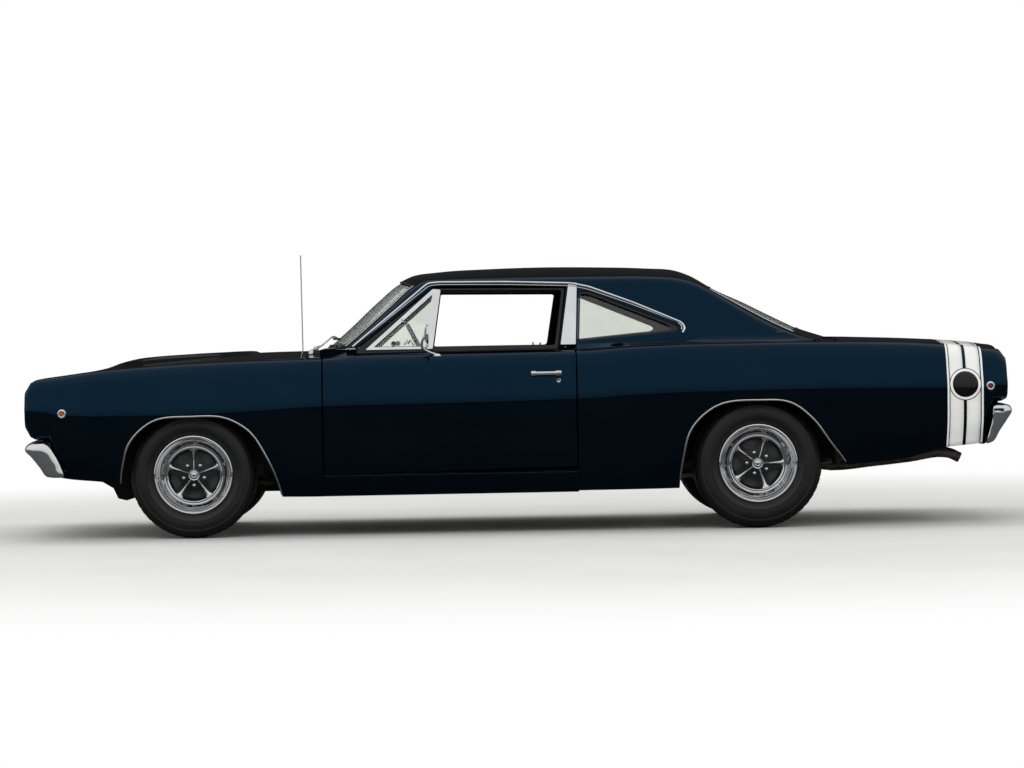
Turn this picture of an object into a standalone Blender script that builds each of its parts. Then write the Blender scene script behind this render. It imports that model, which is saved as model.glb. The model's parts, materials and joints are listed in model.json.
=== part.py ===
"""A two-door muscle car of the late 1960s: unit body, bolted fenders, framed doors, hood with a power
bulge, chrome bumpers and five-spoke wheels on a live rear axle and torsion-bar front suspension.

Metres, +Z up. The origin is on the ground under the middle of the car. The nose points to -X and the
driver's side, the car's left, is -Y.
"""

import math

import bmesh
import bpy
from mathutils import Matrix, Vector

# Driving dimensions
WHEELBASE = 2.972
FRONT_AXLE_X = -1.720
REAR_AXLE_X = FRONT_AXLE_X + WHEELBASE
HALF_TRACK = 0.755
KINGPIN_Y = 0.650
FRONT_HUB_Z = 0.334
REAR_HUB_Z = 0.341
TYRE_HALF_WIDTH = 0.108
WHEEL_STEPS = 28
SHUT_GAP = 0.006
FENDER_FRONT_X = -2.592
DOOR_FRONT_X = -1.030
DOOR_REAR_X = 0.297
DOOR_INNER_Y = 0.803
QUARTER_REAR_X = 2.566
HOOD_FRONT_X = -2.530
HOOD_REAR_X = -1.140
LID_FRONT_X = 1.700
LID_REAR_X = 2.535
SKIN = 0.022
PANEL = 0.024
ROOF_DEPTH = 0.035
PANE = 0.006
WAIST_Z = 0.985
WAIST_HALF_WIDTH = 0.835
RAIL_Z = 1.320
RAIL_HALF_WIDTH = 0.700
BUMPER_SKIN = 0.008
HALF_LENGTH = 2.631
SHARP_EDGE = math.radians(32)

# Joint axes: door hinges near the front edge, hood hinge at its rear, lid hinge at its front.
DOOR_HINGE = (-1.024, 0.960, 0.600)
HOOD_HINGE = (-1.160, 0.0, 0.985)
LID_HINGE = (1.715, 0.0, 1.005)

LEFT, RIGHT = -1, 1
SIDES = ((LEFT, "left"), (RIGHT, "right"))


def table(columns, rows):
    """Rows of numbers read by column name."""
    return [dict(zip(columns, row)) for row in rows]


# Body side, one row for each station from nose to tail. "low" is the bottom edge, "crease" the widest
# line, "crest" where the side turns into the top, "lip" the top's inner edge.
SIDE_COLUMNS = ("x", "low_z", "low_y", "crease_z", "crease_y", "crest_z", "crest_y", "lip_z", "lip_y")
SIDE = table(SIDE_COLUMNS, (
    (-2.592, 0.600, 0.890, 0.680, 0.918, 0.780, 0.880, 0.786, 0.850),
    (-2.575, 0.560, 0.896, 0.680, 0.932, 0.815, 0.880, 0.820, 0.830),
    (-2.535, 0.536, 0.900, 0.678, 0.943, 0.840, 0.872, 0.846, 0.800),
    (-2.470, 0.528, 0.896, 0.672, 0.949, 0.850, 0.866, 0.858, 0.780),
    (-2.420, 0.335, 0.872, 0.668, 0.952, 0.856, 0.864, 0.864, 0.775),
    (-2.180, 0.305, 0.874, 0.658, 0.960, 0.884, 0.862, 0.892, 0.768),
    (-1.784, 0.240, 0.880, 0.660, 0.966, 0.909, 0.862, 0.917, 0.764),
    (-1.400, 0.216, 0.884, 0.675, 0.967, 0.921, 0.865, 0.929, 0.762),
    (-1.036, 0.210, 0.886, 0.694, 0.964, 0.926, 0.872, 0.938, 0.822),
    (-0.860, 0.210, 0.885, 0.696, 0.962, 0.927, 0.878, 0.968, 0.820),
    (-0.400, 0.210, 0.884, 0.699, 0.959, 0.930, 0.885, 0.970, 0.820),
    (0.303, 0.217, 0.884, 0.709, 0.961, 0.936, 0.893, 0.972, 0.822),
    (0.640, 0.218, 0.885, 0.728, 0.968, 0.958, 0.893, 0.984, 0.836),
    (0.950, 0.222, 0.884, 0.737, 0.972, 0.968, 0.892, 0.984, 0.836),
    (1.400, 0.260, 0.880, 0.740, 0.972, 0.968, 0.889, 0.984, 0.832),
    (1.700, 0.322, 0.872, 0.737, 0.966, 0.964, 0.880, 0.980, 0.780),
    (2.010, 0.352, 0.864, 0.732, 0.957, 0.956, 0.868, 0.970, 0.735),
    (2.240, 0.408, 0.858, 0.727, 0.946, 0.940, 0.856, 0.956, 0.722),
    (2.444, 0.432, 0.850, 0.723, 0.933, 0.917, 0.847, 0.935, 0.716),
    (2.486, 0.641, 0.880, 0.722, 0.929, 0.913, 0.845, 0.930, 0.715),
    (2.530, 0.646, 0.880, 0.721, 0.925, 0.908, 0.842, 0.924, 0.714),
    (2.566, 0.660, 0.860, 0.720, 0.915, 0.870, 0.846, 0.880, 0.760),
))

# Roof skin, one row for each hoop from the windshield's foot to the rear deck. A hoop runs from its
# edge on one side plate over the centre line to the other.
ROOF_COLUMNS = ("centre_x", "centre_z", "edge_x", "edge_z")
ROOF = table(ROOF_COLUMNS, (
    (-1.035, 0.985, -0.905, 0.9855),
    (-0.901, 1.103, -0.785, 1.085),
    (-0.759, 1.234, -0.655, 1.200),
    (-0.625, 1.340, -0.540, 1.302),
    (-0.560, 1.370, -0.490, 1.330),
    (-0.420, 1.389, -0.390, 1.336),
    (-0.150, 1.402, -0.150, 1.338),
    (0.150, 1.407, 0.150, 1.338),
    (0.450, 1.402, 0.450, 1.337),
    (0.715, 1.391, 0.720, 1.333),
    (0.870, 1.377, 0.860, 1.320),
    (0.950, 1.347, 0.935, 1.299),
    (1.055, 1.284, 1.020, 1.258),
    (1.241, 1.198, 1.165, 1.168),
    (1.419, 1.108, 1.310, 1.085),
    (1.535, 1.052, 1.430, 1.028),
    (1.680, 1.003, 1.560, 0.9865),
))

# Window holes in the roof skin: first and last row, and share of the half width.
WINDSHIELD_HOLE = (-0.35, 3.0, 0.925)
BACKLIGHT_HOLE = (12.0, 15.0, 0.86)

# Hood and trunk lid along their centre lines.
HOOD = table(("x", "centre_z", "bulge"), (
    (-2.530, 0.850, 0.0),
    (-2.320, 0.880, 0.0),
    (-2.230, 0.892, 0.004),
    (-2.120, 0.906, 0.026),
    (-2.020, 0.918, 0.034),
    (-1.800, 0.938, 0.028),
    (-1.600, 0.954, 0.020),
    (-1.435, 0.966, 0.012),
    (-1.405, 0.968, 0.0),
    (-1.270, 0.971, 0.0),
    (-1.140, 0.972, 0.0),
))
BULGE_HALF_WIDTH = 0.34
BULGE_SHOULDER = 0.07
LID = table(("x", "centre_z"), (
    (1.700, 1.001),
    (1.900, 0.995),
    (2.137, 0.984),
    (2.317, 0.971),
    (2.450, 0.957),
    (2.535, 0.945),
))

# Wheel openings: distances from the axle and heights above the ground.
FRONT_ARCH = ((-0.385, 0.150), (-0.368, 0.370), (-0.322, 0.512), (-0.206, 0.616), (0.0, 0.640),
              (0.190, 0.626), (0.300, 0.560), (0.386, 0.430), (0.462, 0.235), (0.480, 0.150))
REAR_ARCH = ((-0.425, 0.150), (-0.402, 0.370), (-0.352, 0.535), (-0.225, 0.646), (0.0, 0.673),
             (0.170, 0.656), (0.290, 0.562), (0.370, 0.452), (0.470, 0.318), (0.520, 0.150))

# Side windows, drawn as distances along the car and heights above the ground.
DOOR_OPENING = ((-0.868, 0.976), (-0.442, 1.307), (0.262, 1.298), (0.217, 0.976))
QUARTER_OPENING = ((0.312, 1.000), (0.325, 1.268), (0.385, 1.263), (0.835, 1.078), (0.850, 1.055),
                   (0.820, 1.040))
DOOR_FRAME = ((-0.850, 0.940), (-0.850, 0.982), (-0.446, 1.297), (0.250, 1.288), (0.206, 0.972),
              (0.206, 0.940))
VENT_WINDOW = ((-0.762, 0.988), (-0.448, 1.262), (-0.506, 0.988))
DOOR_WINDOW = ((-0.455, 0.988), (-0.413, 1.272), (0.206, 1.265), (0.163, 0.988))
GUTTER = ((-0.872, 0.992), (-0.473, 1.320), (-0.419, 1.325), (-0.068, 1.321), (0.284, 1.308), (0.378, 1.288),
          (0.606, 1.202), (0.767, 1.132), (0.862, 1.090), (0.881, 1.062), (0.866, 1.036))

# Bumpers, one row for each line along the bar from its top ledge to its bottom edge: height, where
# the bar stands at its corners, how far out its wrapped ends are, and where these ends stop.
BUMPER_COLUMNS = ("z", "corner_x", "side_y", "end_x")
FRONT_BUMPER = table(BUMPER_COLUMNS, (
    (0.512, -2.545, 0.896, -2.484),
    (0.520, -2.558, 0.916, -2.476),
    (0.508, -2.584, 0.932, -2.466),
    (0.486, -2.596, 0.938, -2.456),
    (0.442, -2.562, 0.936, -2.430),
    (0.390, -2.522, 0.932, -2.406),
    (0.340, -2.486, 0.926, -2.389),
    (0.334, -2.462, 0.905, -2.389),
))
REAR_BUMPER = table(BUMPER_COLUMNS, (
    (0.620, 2.540, 0.890, 2.490),
    (0.630, 2.558, 0.908, 2.488),
    (0.620, 2.582, 0.924, 2.486),
    (0.600, 2.590, 0.930, 2.484),
    (0.550, 2.565, 0.928, 2.480),
    (0.490, 2.524, 0.922, 2.464),
    (0.436, 2.489, 0.915, 2.449),
    (0.426, 2.466, 0.900, 2.447),
))

COLOURS = {
    "black_paint": ((0.006, 0.007, 0.008), 0.12, 0.0),
    "chrome": ((0.78, 0.79, 0.80), 0.08, 1.0),
    "tyre_rubber": ((0.018, 0.018, 0.018), 0.75, 0.0),
    "underbody_black": ((0.02, 0.02, 0.02), 0.6, 0.0),
    "glass": ((0.25, 0.32, 0.30), 0.03, 0.0),
    "vinyl": ((0.015, 0.015, 0.016), 0.5, 0.0),
    "cast_iron": ((0.05, 0.05, 0.05), 0.6, 0.6),
    "steel_pipe": ((0.20, 0.19, 0.18), 0.45, 0.9),
    "lamp_red": ((0.35, 0.01, 0.01), 0.15, 0.0),
    "lamp_clear": ((0.75, 0.76, 0.78), 0.08, 0.0),
    "grille_black": ((0.012, 0.012, 0.012), 0.45, 0.0),
}


def make_collection(name):
    collection = bpy.data.collections.new(name)
    bpy.context.scene.collection.children.link(collection)
    return collection


def make_material(name):
    colour, roughness, metallic = COLOURS[name]
    material = bpy.data.materials.new(name)
    material.use_nodes = True
    shader = material.node_tree.nodes["Principled BSDF"]
    shader.inputs["Base Color"].default_value = (*colour, 1.0)
    shader.inputs["Roughness"].default_value = roughness
    shader.inputs["Metallic"].default_value = metallic
    return material


class Shop:
    """The collections and materials that the pieces go into."""

    def __init__(self):
        for obj in list(bpy.data.objects):
            bpy.data.objects.remove(obj, do_unlink=True)
        self.parts = make_collection("muscle_car")
        self.cutters = make_collection("cutters")
        self.cutters.hide_render = True
        self.materials = {name: make_material(name) for name in COLOURS}

    def move_to(self, obj, collection):
        for other in list(obj.users_collection):
            other.objects.unlink(obj)
        collection.objects.link(obj)

    def keep(self, obj, name, material):
        """Puts a finished object among the parts, named and coloured."""
        self.move_to(obj, self.parts)
        obj.name = name
        obj.data.name = name
        obj.data.materials.clear()
        obj.data.materials.append(self.materials[material])
        return obj

    def combine(self, target, others, operation):
        """Adds a Boolean for each other shape and puts that shape among the cutters."""
        for other in others:
            modifier = target.modifiers.new(operation.lower(), "BOOLEAN")
            modifier.operation = operation
            modifier.solver = "EXACT"
            modifier.object = other
            self.move_to(other, self.cutters)
            other.hide_render = True
            other.display_type = "WIRE"
        return target

    def join(self, target, *others):
        return self.combine(target, others, "UNION")

    def cut(self, target, *others):
        return self.combine(target, others, "DIFFERENCE")


def new_object(name, data, matrix=None):
    obj = bpy.data.objects.new(name, data)
    bpy.context.scene.collection.objects.link(obj)
    if matrix is not None:
        obj.matrix_world = matrix
    return obj


def object_from_bmesh(bm, name, closed=True):
    """A new object, smooth where its faces meet at a flat angle. A closed shape gets outward faces."""
    if closed:
        bmesh.ops.recalc_face_normals(bm, faces=bm.faces)
    mesh = bpy.data.meshes.new(name)
    bm.to_mesh(mesh)
    bm.free()
    mesh.shade_smooth()
    mesh.set_sharp_from_angle(angle=SHARP_EDGE)
    return new_object(name, mesh)


def sheet(name, rows, outward, has_face=None):
    """An open surface through rows of equally many points, turned to face outward.

    has_face(i, j) says whether the cell after row i and point j is filled.
    """
    bm = bmesh.new()
    grid = [[bm.verts.new(point) for point in row] for row in rows]
    for i in range(len(grid) - 1):
        for j in range(len(grid[0]) - 1):
            if has_face is None or has_face(i, j):
                bm.faces.new((grid[i][j], grid[i][j + 1], grid[i + 1][j + 1], grid[i + 1][j]))
    bmesh.ops.delete(bm, geom=[v for v in bm.verts if not v.link_faces], context="VERTS")
    bm.normal_update()
    if sum(face.normal.dot(Vector(outward)) * face.calc_area() for face in bm.faces) < 0:
        bmesh.ops.reverse_faces(bm, faces=bm.faces)
    return object_from_bmesh(bm, name, closed=False)


def mirror(obj):
    """Completes a half that is open at the centre plane."""
    modifier = obj.modifiers.new("mirror", "MIRROR")
    modifier.use_axis = (False, True, False)
    modifier.merge_threshold = 0.0001
    return obj


def thicken(obj, thickness):
    """Gives an open surface a thickness on its inner side."""
    modifier = obj.modifiers.new("thickness", "SOLIDIFY")
    modifier.thickness = thickness
    modifier.offset = -1.0
    return obj


def bevel(obj, width, segments):
    modifier = obj.modifiers.new("bevel", "BEVEL")
    modifier.width = width
    modifier.segments = segments
    modifier.limit_method = "ANGLE"
    return obj


def loft(name, rings):
    """A closed solid through rings of equally many points, with a cap on each end ring."""
    bm = bmesh.new()
    loops = [[bm.verts.new(point) for point in ring] for ring in rings]
    count = len(rings[0])
    for near, far in zip(loops, loops[1:]):
        for i in range(count):
            j = (i + 1) % count
            bm.faces.new((near[i], near[j], far[j], far[i]))
    bm.faces.new(loops[0])
    bm.faces.new(list(reversed(loops[-1])))
    bmesh.ops.triangulate(bm, faces=[face for face in bm.faces if len(face.verts) > 4])
    return object_from_bmesh(bm, name)


def box(name, low, high):
    """A block between two corners."""
    bm = bmesh.new()
    bmesh.ops.create_cube(bm, size=1.0)
    low, high = Vector(low), Vector(high)
    bmesh.ops.scale(bm, vec=high - low, verts=bm.verts)
    bmesh.ops.translate(bm, vec=(low + high) / 2, verts=bm.verts)
    return object_from_bmesh(bm, name)


def side_box(name, side, x_span, y_span, z_span):
    """A block on one side of the car, with its Y span given as distances from the centre plane."""
    low_y, high_y = sorted(side * y for y in y_span)
    return box(name, (x_span[0], low_y, z_span[0]), (x_span[1], high_y, z_span[1]))


def disc(name, centre, radius, depth, steps, axis):
    """A plain round block along one axis."""
    turns = {"X": Matrix.Rotation(math.pi / 2, 3, "Y"), "Y": Matrix.Rotation(math.pi / 2, 3, "X"),
             "Z": Matrix.Identity(3)}
    bm = bmesh.new()
    bmesh.ops.create_cone(bm, cap_ends=True, segments=steps, radius1=radius, radius2=radius, depth=depth)
    bmesh.ops.rotate(bm, cent=(0, 0, 0), matrix=turns[axis], verts=bm.verts)
    bmesh.ops.translate(bm, vec=centre, verts=bm.verts)
    return object_from_bmesh(bm, name)


def as_mesh(obj):
    """The same object as a welded mesh in world coordinates, so that it can be cut and joined."""
    bpy.context.view_layer.update()
    graph = bpy.context.evaluated_depsgraph_get()
    mesh = bpy.data.meshes.new_from_object(obj.evaluated_get(graph))
    mesh.transform(obj.matrix_world)
    bm = bmesh.new()
    bm.from_mesh(mesh)
    bmesh.ops.remove_doubles(bm, verts=bm.verts, dist=0.0001)
    name = obj.name
    bpy.data.objects.remove(obj, do_unlink=True)
    bpy.data.meshes.remove(mesh)
    return object_from_bmesh(bm, name)


def flat_outline(name, outlines, thickness, matrix, smooth=False):
    """A plate with holes: closed outlines in its own XY plane, extruded half its thickness each way."""
    curve = bpy.data.curves.new(name, "CURVE")
    curve.dimensions = "2D"
    curve.fill_mode = "BOTH"
    curve.extrude = thickness / 2
    curve.resolution_u = 3
    for outline in outlines:
        spline = curve.splines.new("BEZIER" if smooth else "POLY")
        points = spline.bezier_points if smooth else spline.points
        points.add(len(outline) - 1)
        for point, (x, y) in zip(points, outline):
            if smooth:
                point.co = (x, y, 0)
                point.handle_left_type = point.handle_right_type = "AUTO"
            else:
                point.co = (x, y, 0, 1)
        spline.use_cyclic_u = True
    return as_mesh(new_object(name, curve, matrix))


def side_view(y):
    """Places an outline drawn in X and Z at that distance from the centre plane."""
    return Matrix(((1, 0, 0, 0), (0, 0, -1, y), (0, 1, 0, 0), (0, 0, 0, 1)))


def front_view(x):
    """Places an outline drawn in Y and Z at that distance along the car."""
    return Matrix(((0, 0, 1, x), (1, 0, 0, 0), (0, 1, 0, 0), (0, 0, 0, 1)))


def both_halves(half):
    """A symmetric outline in Y and Z from its right half, drawn upwards."""
    return [*half, *((-y, z) for y, z in reversed(half))]


def tube(name, points, radius, resolution=2):
    """A round bar or pipe through points, with filled ends."""
    curve = bpy.data.curves.new(name, "CURVE")
    curve.dimensions = "3D"
    curve.bevel_depth = radius
    curve.bevel_resolution = resolution
    curve.use_fill_caps = True
    spline = curve.splines.new("POLY")
    spline.points.add(len(points) - 1)
    for knot, point in zip(spline.points, points):
        knot.co = (*point, 1)
    return as_mesh(new_object(name, curve))


def turned(name, profile, closed, centre, side, steps):
    """A profile of (distance from the axle, distance outwards along it) turned about the axle line."""
    count = len(profile)
    edges = [(n, (n + 1) % count) for n in range(count if closed else count - 1)]
    mesh = bpy.data.meshes.new(name)
    mesh.from_pydata([(r, 0.0, out) for r, out in profile], edges, [])
    matrix = Matrix.Translation(centre) @ Matrix.Rotation(-side * math.pi / 2, 4, "X")
    obj = new_object(name, mesh, matrix)
    screw = obj.modifiers.new("turn", "SCREW")
    screw.axis = "Z"
    screw.steps = steps
    screw.render_steps = steps
    screw.use_merge_vertices = True
    screw.merge_threshold = 0.00001
    return as_mesh(obj)


def hang(obj, point, parent=None):
    """Moves an object's origin to a point on its joint's axis, and lets the object follow its parent."""
    obj.data.transform(Matrix.Translation(-Vector(point)))
    obj.location = point
    if parent is not None:
        bpy.context.view_layer.update()
        obj.parent = parent
        obj.matrix_parent_inverse = parent.matrix_world.inverted()


def smooth_between(rows, value, want):
    """Reads a column of a table at any x, on a smooth curve through its rows that never overshoots."""
    xs = [row["x"] for row in rows]
    ys = [row[want] for row in rows]
    if value <= xs[0]:
        return ys[0]
    if value >= xs[-1]:
        return ys[-1]
    i = next(n for n in range(len(xs) - 1) if xs[n] <= value <= xs[n + 1])

    def slope(n):
        if n in (0, len(xs) - 1):
            return 0.0
        left = (ys[n] - ys[n - 1]) / (xs[n] - xs[n - 1])
        right = (ys[n + 1] - ys[n]) / (xs[n + 1] - xs[n])
        return 0.0 if left * right <= 0 else 2 * left * right / (left + right)

    span = xs[i + 1] - xs[i]
    t = (value - xs[i]) / span
    start, end = slope(i) * span, slope(i + 1) * span
    return (
        ys[i] * (2 * t**3 - 3 * t**2 + 1)
        + start * (t**3 - 2 * t**2 + t)
        + ys[i + 1] * (3 * t**2 - 2 * t**3)
        + end * (t**3 - t**2)
    )


def station(x):
    """Every column of the body side table at one place along the car."""
    return {name: smooth_between(SIDE, x, name) for name in SIDE_COLUMNS}


def side_points(x):
    """The outer line of the body side at one station, from its bottom edge up to the lip, as (y, z)."""
    s = station(x)
    rise = s["crease_z"] - s["low_z"]
    above = s["crest_z"] - s["crease_z"]
    lean = s["crease_y"] - s["crest_y"]
    return [
        (s["low_y"], s["low_z"]),
        (s["low_y"] + 0.72 * (s["crease_y"] - s["low_y"]), s["low_z"] + 0.38 * rise),
        (s["crease_y"] - 0.004, s["crease_z"] - 0.14 * rise),
        (s["crease_y"], s["crease_z"]),
        (s["crease_y"] - 0.30 * lean, s["crease_z"] + 0.45 * above),
        (s["crest_y"] + 0.36 * lean, s["crest_z"] - 0.18 * above),
        (s["crest_y"], s["crest_z"]),
        (s["lip_y"], s["lip_z"]),
    ]


def stations_between(start, end, spacing=0.30):
    """The table's own stations inside a stretch, with its two ends and no gap above the spacing."""
    inside = [row["x"] for row in SIDE if start + 0.02 < row["x"] < end - 0.02]
    places = [start, *inside, end]
    filled = []
    for a, b in zip(places, places[1:]):
        steps = max(1, math.ceil((b - a) / spacing))
        filled += [a + (b - a) * n / steps for n in range(steps)]
    return [*filled, end]


def side_skin(name, start, end, side):
    """The body side between two stations as a panel one skin thick."""
    rows = [[(x, side * y, z) for y, z in side_points(x)] for x in stations_between(start, end)]
    return thicken(sheet(name, rows, (0, side, 0)), SKIN)


def waist_y(z):
    """How far out the side plate of the cabin stands at a height: it leans in towards the roof."""
    return WAIST_HALF_WIDTH - (z - WAIST_Z) * (WAIST_HALF_WIDTH - RAIL_HALF_WIDTH) / (RAIL_Z - WAIST_Z)


def leaning_plate(name, outlines, thickness, side, sunk):
    """A flat piece in the leaning plane of the side windows, its outer face sunk below that plane."""
    lean = math.atan((WAIST_HALF_WIDTH - RAIL_HALF_WIDTH) / (RAIL_Z - WAIST_Z))
    drawn = [[(x, (z - WAIST_Z) / math.cos(lean)) for x, z in outline] for outline in outlines]
    up = Vector((0, -side * math.sin(lean), math.cos(lean)))
    out = Vector((0, side * math.cos(lean), math.sin(lean)))
    foot = Vector((0, side * WAIST_HALF_WIDTH, WAIST_Z)) - out * (sunk + thickness / 2)
    matrix = Matrix(
        ((1, 0, 0, foot.x), (0, up.y, out.y, foot.y), (0, up.z, out.z, foot.z), (0, 0, 0, 1))
    )
    return flat_outline(name, drawn, thickness, matrix)


def roof_point(s, u):
    """A point of the roof skin: s counts the table's rows, u runs from 0 at the centre line to 1."""
    n = max(0, min(int(s), len(ROOF) - 2))
    here, beyond = ROOF[n], ROOF[n + 1]
    row = {name: here[name] + (s - n) * (beyond[name] - here[name]) for name in ROOF_COLUMNS}
    x = row["centre_x"] + (row["edge_x"] - row["centre_x"]) * u * u
    z = row["centre_z"] + (row["edge_z"] - row["centre_z"]) * abs(u) ** 2.3
    return Vector((x, u * waist_y(row["edge_z"]), z))


def sunk_roof_point(s, u, depth):
    """A point below the roof skin, square to it."""
    along = roof_point(s + 0.05, u) - roof_point(s - 0.05, u)
    across = roof_point(s, u + 0.02) - roof_point(s, u - 0.02)
    return roof_point(s, u) - along.cross(across).normalized() * depth


def roof_sheet(name, rows, shares, sunk, thickness, holes=()):
    """The roof skin over some rows and shares of its half width, sunk and mirrored, with holes."""

    def has_face(i, j):
        s = (rows[i] + rows[i + 1]) / 2
        u = (shares[j] + shares[j + 1]) / 2
        return not any(first < s < last and u < share for first, last, share in holes)

    points = [[sunk_roof_point(s, u, sunk) if sunk else roof_point(s, u) for u in shares] for s in rows]
    return thicken(mirror(sheet(name, points, (0, 0, 1), has_face)), thickness)


def make_roof(shop):
    """Roof panel, windshield and backlight frames, side plates with the pillars, and the door posts."""
    shares = (0.0, 0.3, 0.6, BACKLIGHT_HOLE[2], WINDSHIELD_HOLE[2], 1.0)
    rows = [float(n) for n in range(len(ROOF))]
    roof = roof_sheet("roof", rows, shares, 0.0, ROOF_DEPTH, (WINDSHIELD_HOLE, BACKLIGHT_HOLE))
    top = [(row["edge_x"], row["edge_z"] - 0.004) for row in ROOF]
    outline = [*top, (1.545, WAIST_Z), (-0.893, WAIST_Z)]
    for side, _ in SIDES:
        plate = leaning_plate("side_plate", [outline], 0.036, side, sunk=0.002)
        holes = [leaning_plate("window_hole", [hole], 0.20, side, sunk=-0.05)
                 for hole in (DOOR_OPENING, QUARTER_OPENING)]
        roof = shop.join(roof, shop.cut(plate, *holes))
    roof = shop.cut(roof, box("foot_cut", (-1.3, -1.0, 0.80), (1.9, 1.0, WAIST_Z + 0.001)))
    for side, _ in SIDES:
        post = side_box("post", side, (0.230, 0.296), (0.745, 0.795), (0.319, 1.060))
        gutter = tube("gutter", [(x, side * (waist_y(z) + 0.002), z) for x, z in GUTTER], 0.006, 1)
        roof = shop.join(roof, post, gutter)
    shop.keep(roof, "roof", "black_paint")


def make_glass(shop, doors):
    """Windshield, rear window and the fixed side panes, each seated in its opening."""
    edge = WINDSHIELD_HOLE[2] - 0.006
    pane = roof_sheet("windshield", (0.16, 1.0, 2.0, 2.96), (0.0, 0.3, 0.6, 0.8, edge), 0.008, PANE)
    shop.keep(pane, "windshield", "glass")
    edge = BACKLIGHT_HOLE[2] - 0.006
    pane = roof_sheet("rear_window", (12.05, 13.0, 14.0, 14.95), (0.0, 0.3, 0.6, edge), 0.006, PANE)
    shop.keep(pane, "rear_window", "glass")
    for side, word in SIDES:
        for name, outline, middle, share in (
            ("quarter_glass", QUARTER_OPENING, Vector((0.50, 1.14)), 0.992),
            ("vent_glass", VENT_WINDOW, Vector((-0.570, 1.080)), 0.985),
        ):
            shrunk = [tuple(middle + (Vector(point) - middle) * share) for point in outline]
            pane = leaning_plate("pane", [shrunk], PANE, side, sunk=0.014)
            shop.keep(pane, f"{name}_{word}", "glass")
            if name == "vent_glass":
                hang(pane, (DOOR_HINGE[0], side * DOOR_HINGE[1], DOOR_HINGE[2]), doors[side])


def arch_cutter(outline, axle_x, side):
    points = [(axle_x + x, z) for x, z in outline]
    return flat_outline("arch", [points], 0.5, side_view(side * 0.95), smooth=True)


def make_fenders(shop):
    for side, word in SIDES:
        fender = side_skin("fender", FENDER_FRONT_X, DOOR_FRONT_X - SHUT_GAP, side)
        fender = shop.cut(fender, arch_cutter(FRONT_ARCH, FRONT_AXLE_X, side))
        shop.keep(fender, f"fender_{word}", "black_paint")


def make_quarters(shop):
    """Each quarter panel carries the shelf under its window and the jamb behind the door."""
    for side, word in SIDES:
        quarter = side_skin("quarter", DOOR_REAR_X + SHUT_GAP, QUARTER_REAR_X, side)
        shelf = side_box("shelf", side, (0.3035, 1.55), (0.775, 0.845), (0.962, WAIST_Z - 0.0005))
        jamb = side_box("jamb", side, (0.3035, 0.325), (0.80, 0.945), (0.36, 0.90))
        quarter = shop.join(quarter, shelf, jamb)
        quarter = shop.cut(quarter, arch_cutter(REAR_ARCH, REAR_AXLE_X, side))
        shop.keep(quarter, f"quarter_panel_{word}", "black_paint")


def door_section(x, side):
    """A door's closed section: the body side from the door's bottom edge up, and a flat inner face."""
    bottom_z = 0.324 + (x - DOOR_FRONT_X) * 0.018
    outer = side_points(x)
    (y0, z0), (y1, z1) = outer[0], outer[1]
    outer[0] = (y0 + (bottom_z - z0) / (z1 - z0) * (y1 - y0), bottom_z)
    inner = [(DOOR_INNER_Y, outer[-1][1] - 0.001), (DOOR_INNER_Y, bottom_z)]
    return [(x, side * y, z) for y, z in outer + inner]


def make_mirror():
    """A round mirror on a bent stalk, rooted in the top of the driver's door."""
    bend = ((-0.428, -0.858, 0.945), (-0.455, -0.890, 0.985), (-0.465, -0.905, 1.010))
    stalk = tube("stalk", bend, 0.007, 1)
    head = disc("head", (-0.470, -0.915, 1.045), 0.052, 0.018, 16, "X")
    return head, stalk


def make_doors(shop):
    """Each door is one body as thick as the wall, with its window frame on top and its pull outside."""
    doors = {}
    rear_step = 0.014
    for side, word in SIDES:
        rings = [door_section(x, side) for x in stations_between(DOOR_FRONT_X, DOOR_REAR_X)]
        rings[-1] = rings[-1][:-2] + [(x - rear_step, y, z) for x, y, z in rings[-1][-2:]]
        door = loft("door", rings)
        frame = leaning_plate("frame", [DOOR_FRAME, VENT_WINDOW, DOOR_WINDOW], 0.022, side, sunk=0.008)
        pull_line = ((0.070, 0.924), (0.082, 0.950), (0.190, 0.950), (0.202, 0.924))
        pull = tube("pull", [(x, side * y, 0.836) for x, y in pull_line], 0.008, 1)
        door = shop.join(door, frame, pull)
        if side == LEFT:
            door = shop.join(door, *make_mirror())
        doors[side] = shop.keep(door, f"door_{word}", "black_paint")
        hang(door, (DOOR_HINGE[0], side * DOOR_HINGE[1], DOOR_HINGE[2]))
    return doors


def opening_half_width(x):
    """Half the width of the opening between the lips, at its narrowest within a hinge's swing."""
    return min(station(place)["lip_y"] for place in (x - 0.05, x, x + 0.05)) - SHUT_GAP


def crowned(x, y, centre_z):
    """Height of a panel that is level with the lips at its edges and rises to its centre line."""
    edge = station(x)
    share = min(1.0, abs(y) / edge["lip_y"])
    return edge["lip_z"] + (centre_z - edge["lip_z"]) * (1 - share**2.2)


def hood_z(x, y):
    """Height of the hood: crowned between the fenders, with the power bulge down its middle."""
    ramp = max(0.0, min(1.0, (BULGE_HALF_WIDTH - abs(y)) / BULGE_SHOULDER))
    bulge = smooth_between(HOOD, x, "bulge") * ramp * ramp * (3 - 2 * ramp)
    return crowned(x, y, smooth_between(HOOD, x, "centre_z")) + bulge


def lid_z(x, y):
    return crowned(x, y, smooth_between(LID, x, "centre_z"))


def top_panel(name, xs, half_width, height, thickness, shares):
    """A panel across the car: its height is read over a grid of stations and shares of its width."""
    rows = []
    for x in xs:
        ys = [half_width(x) * share for share in shares]
        rows.append([(x, y, height(x, y)) for y in ys])
    return thicken(mirror(sheet(name, rows, (0, 0, 1))), thickness)


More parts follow.
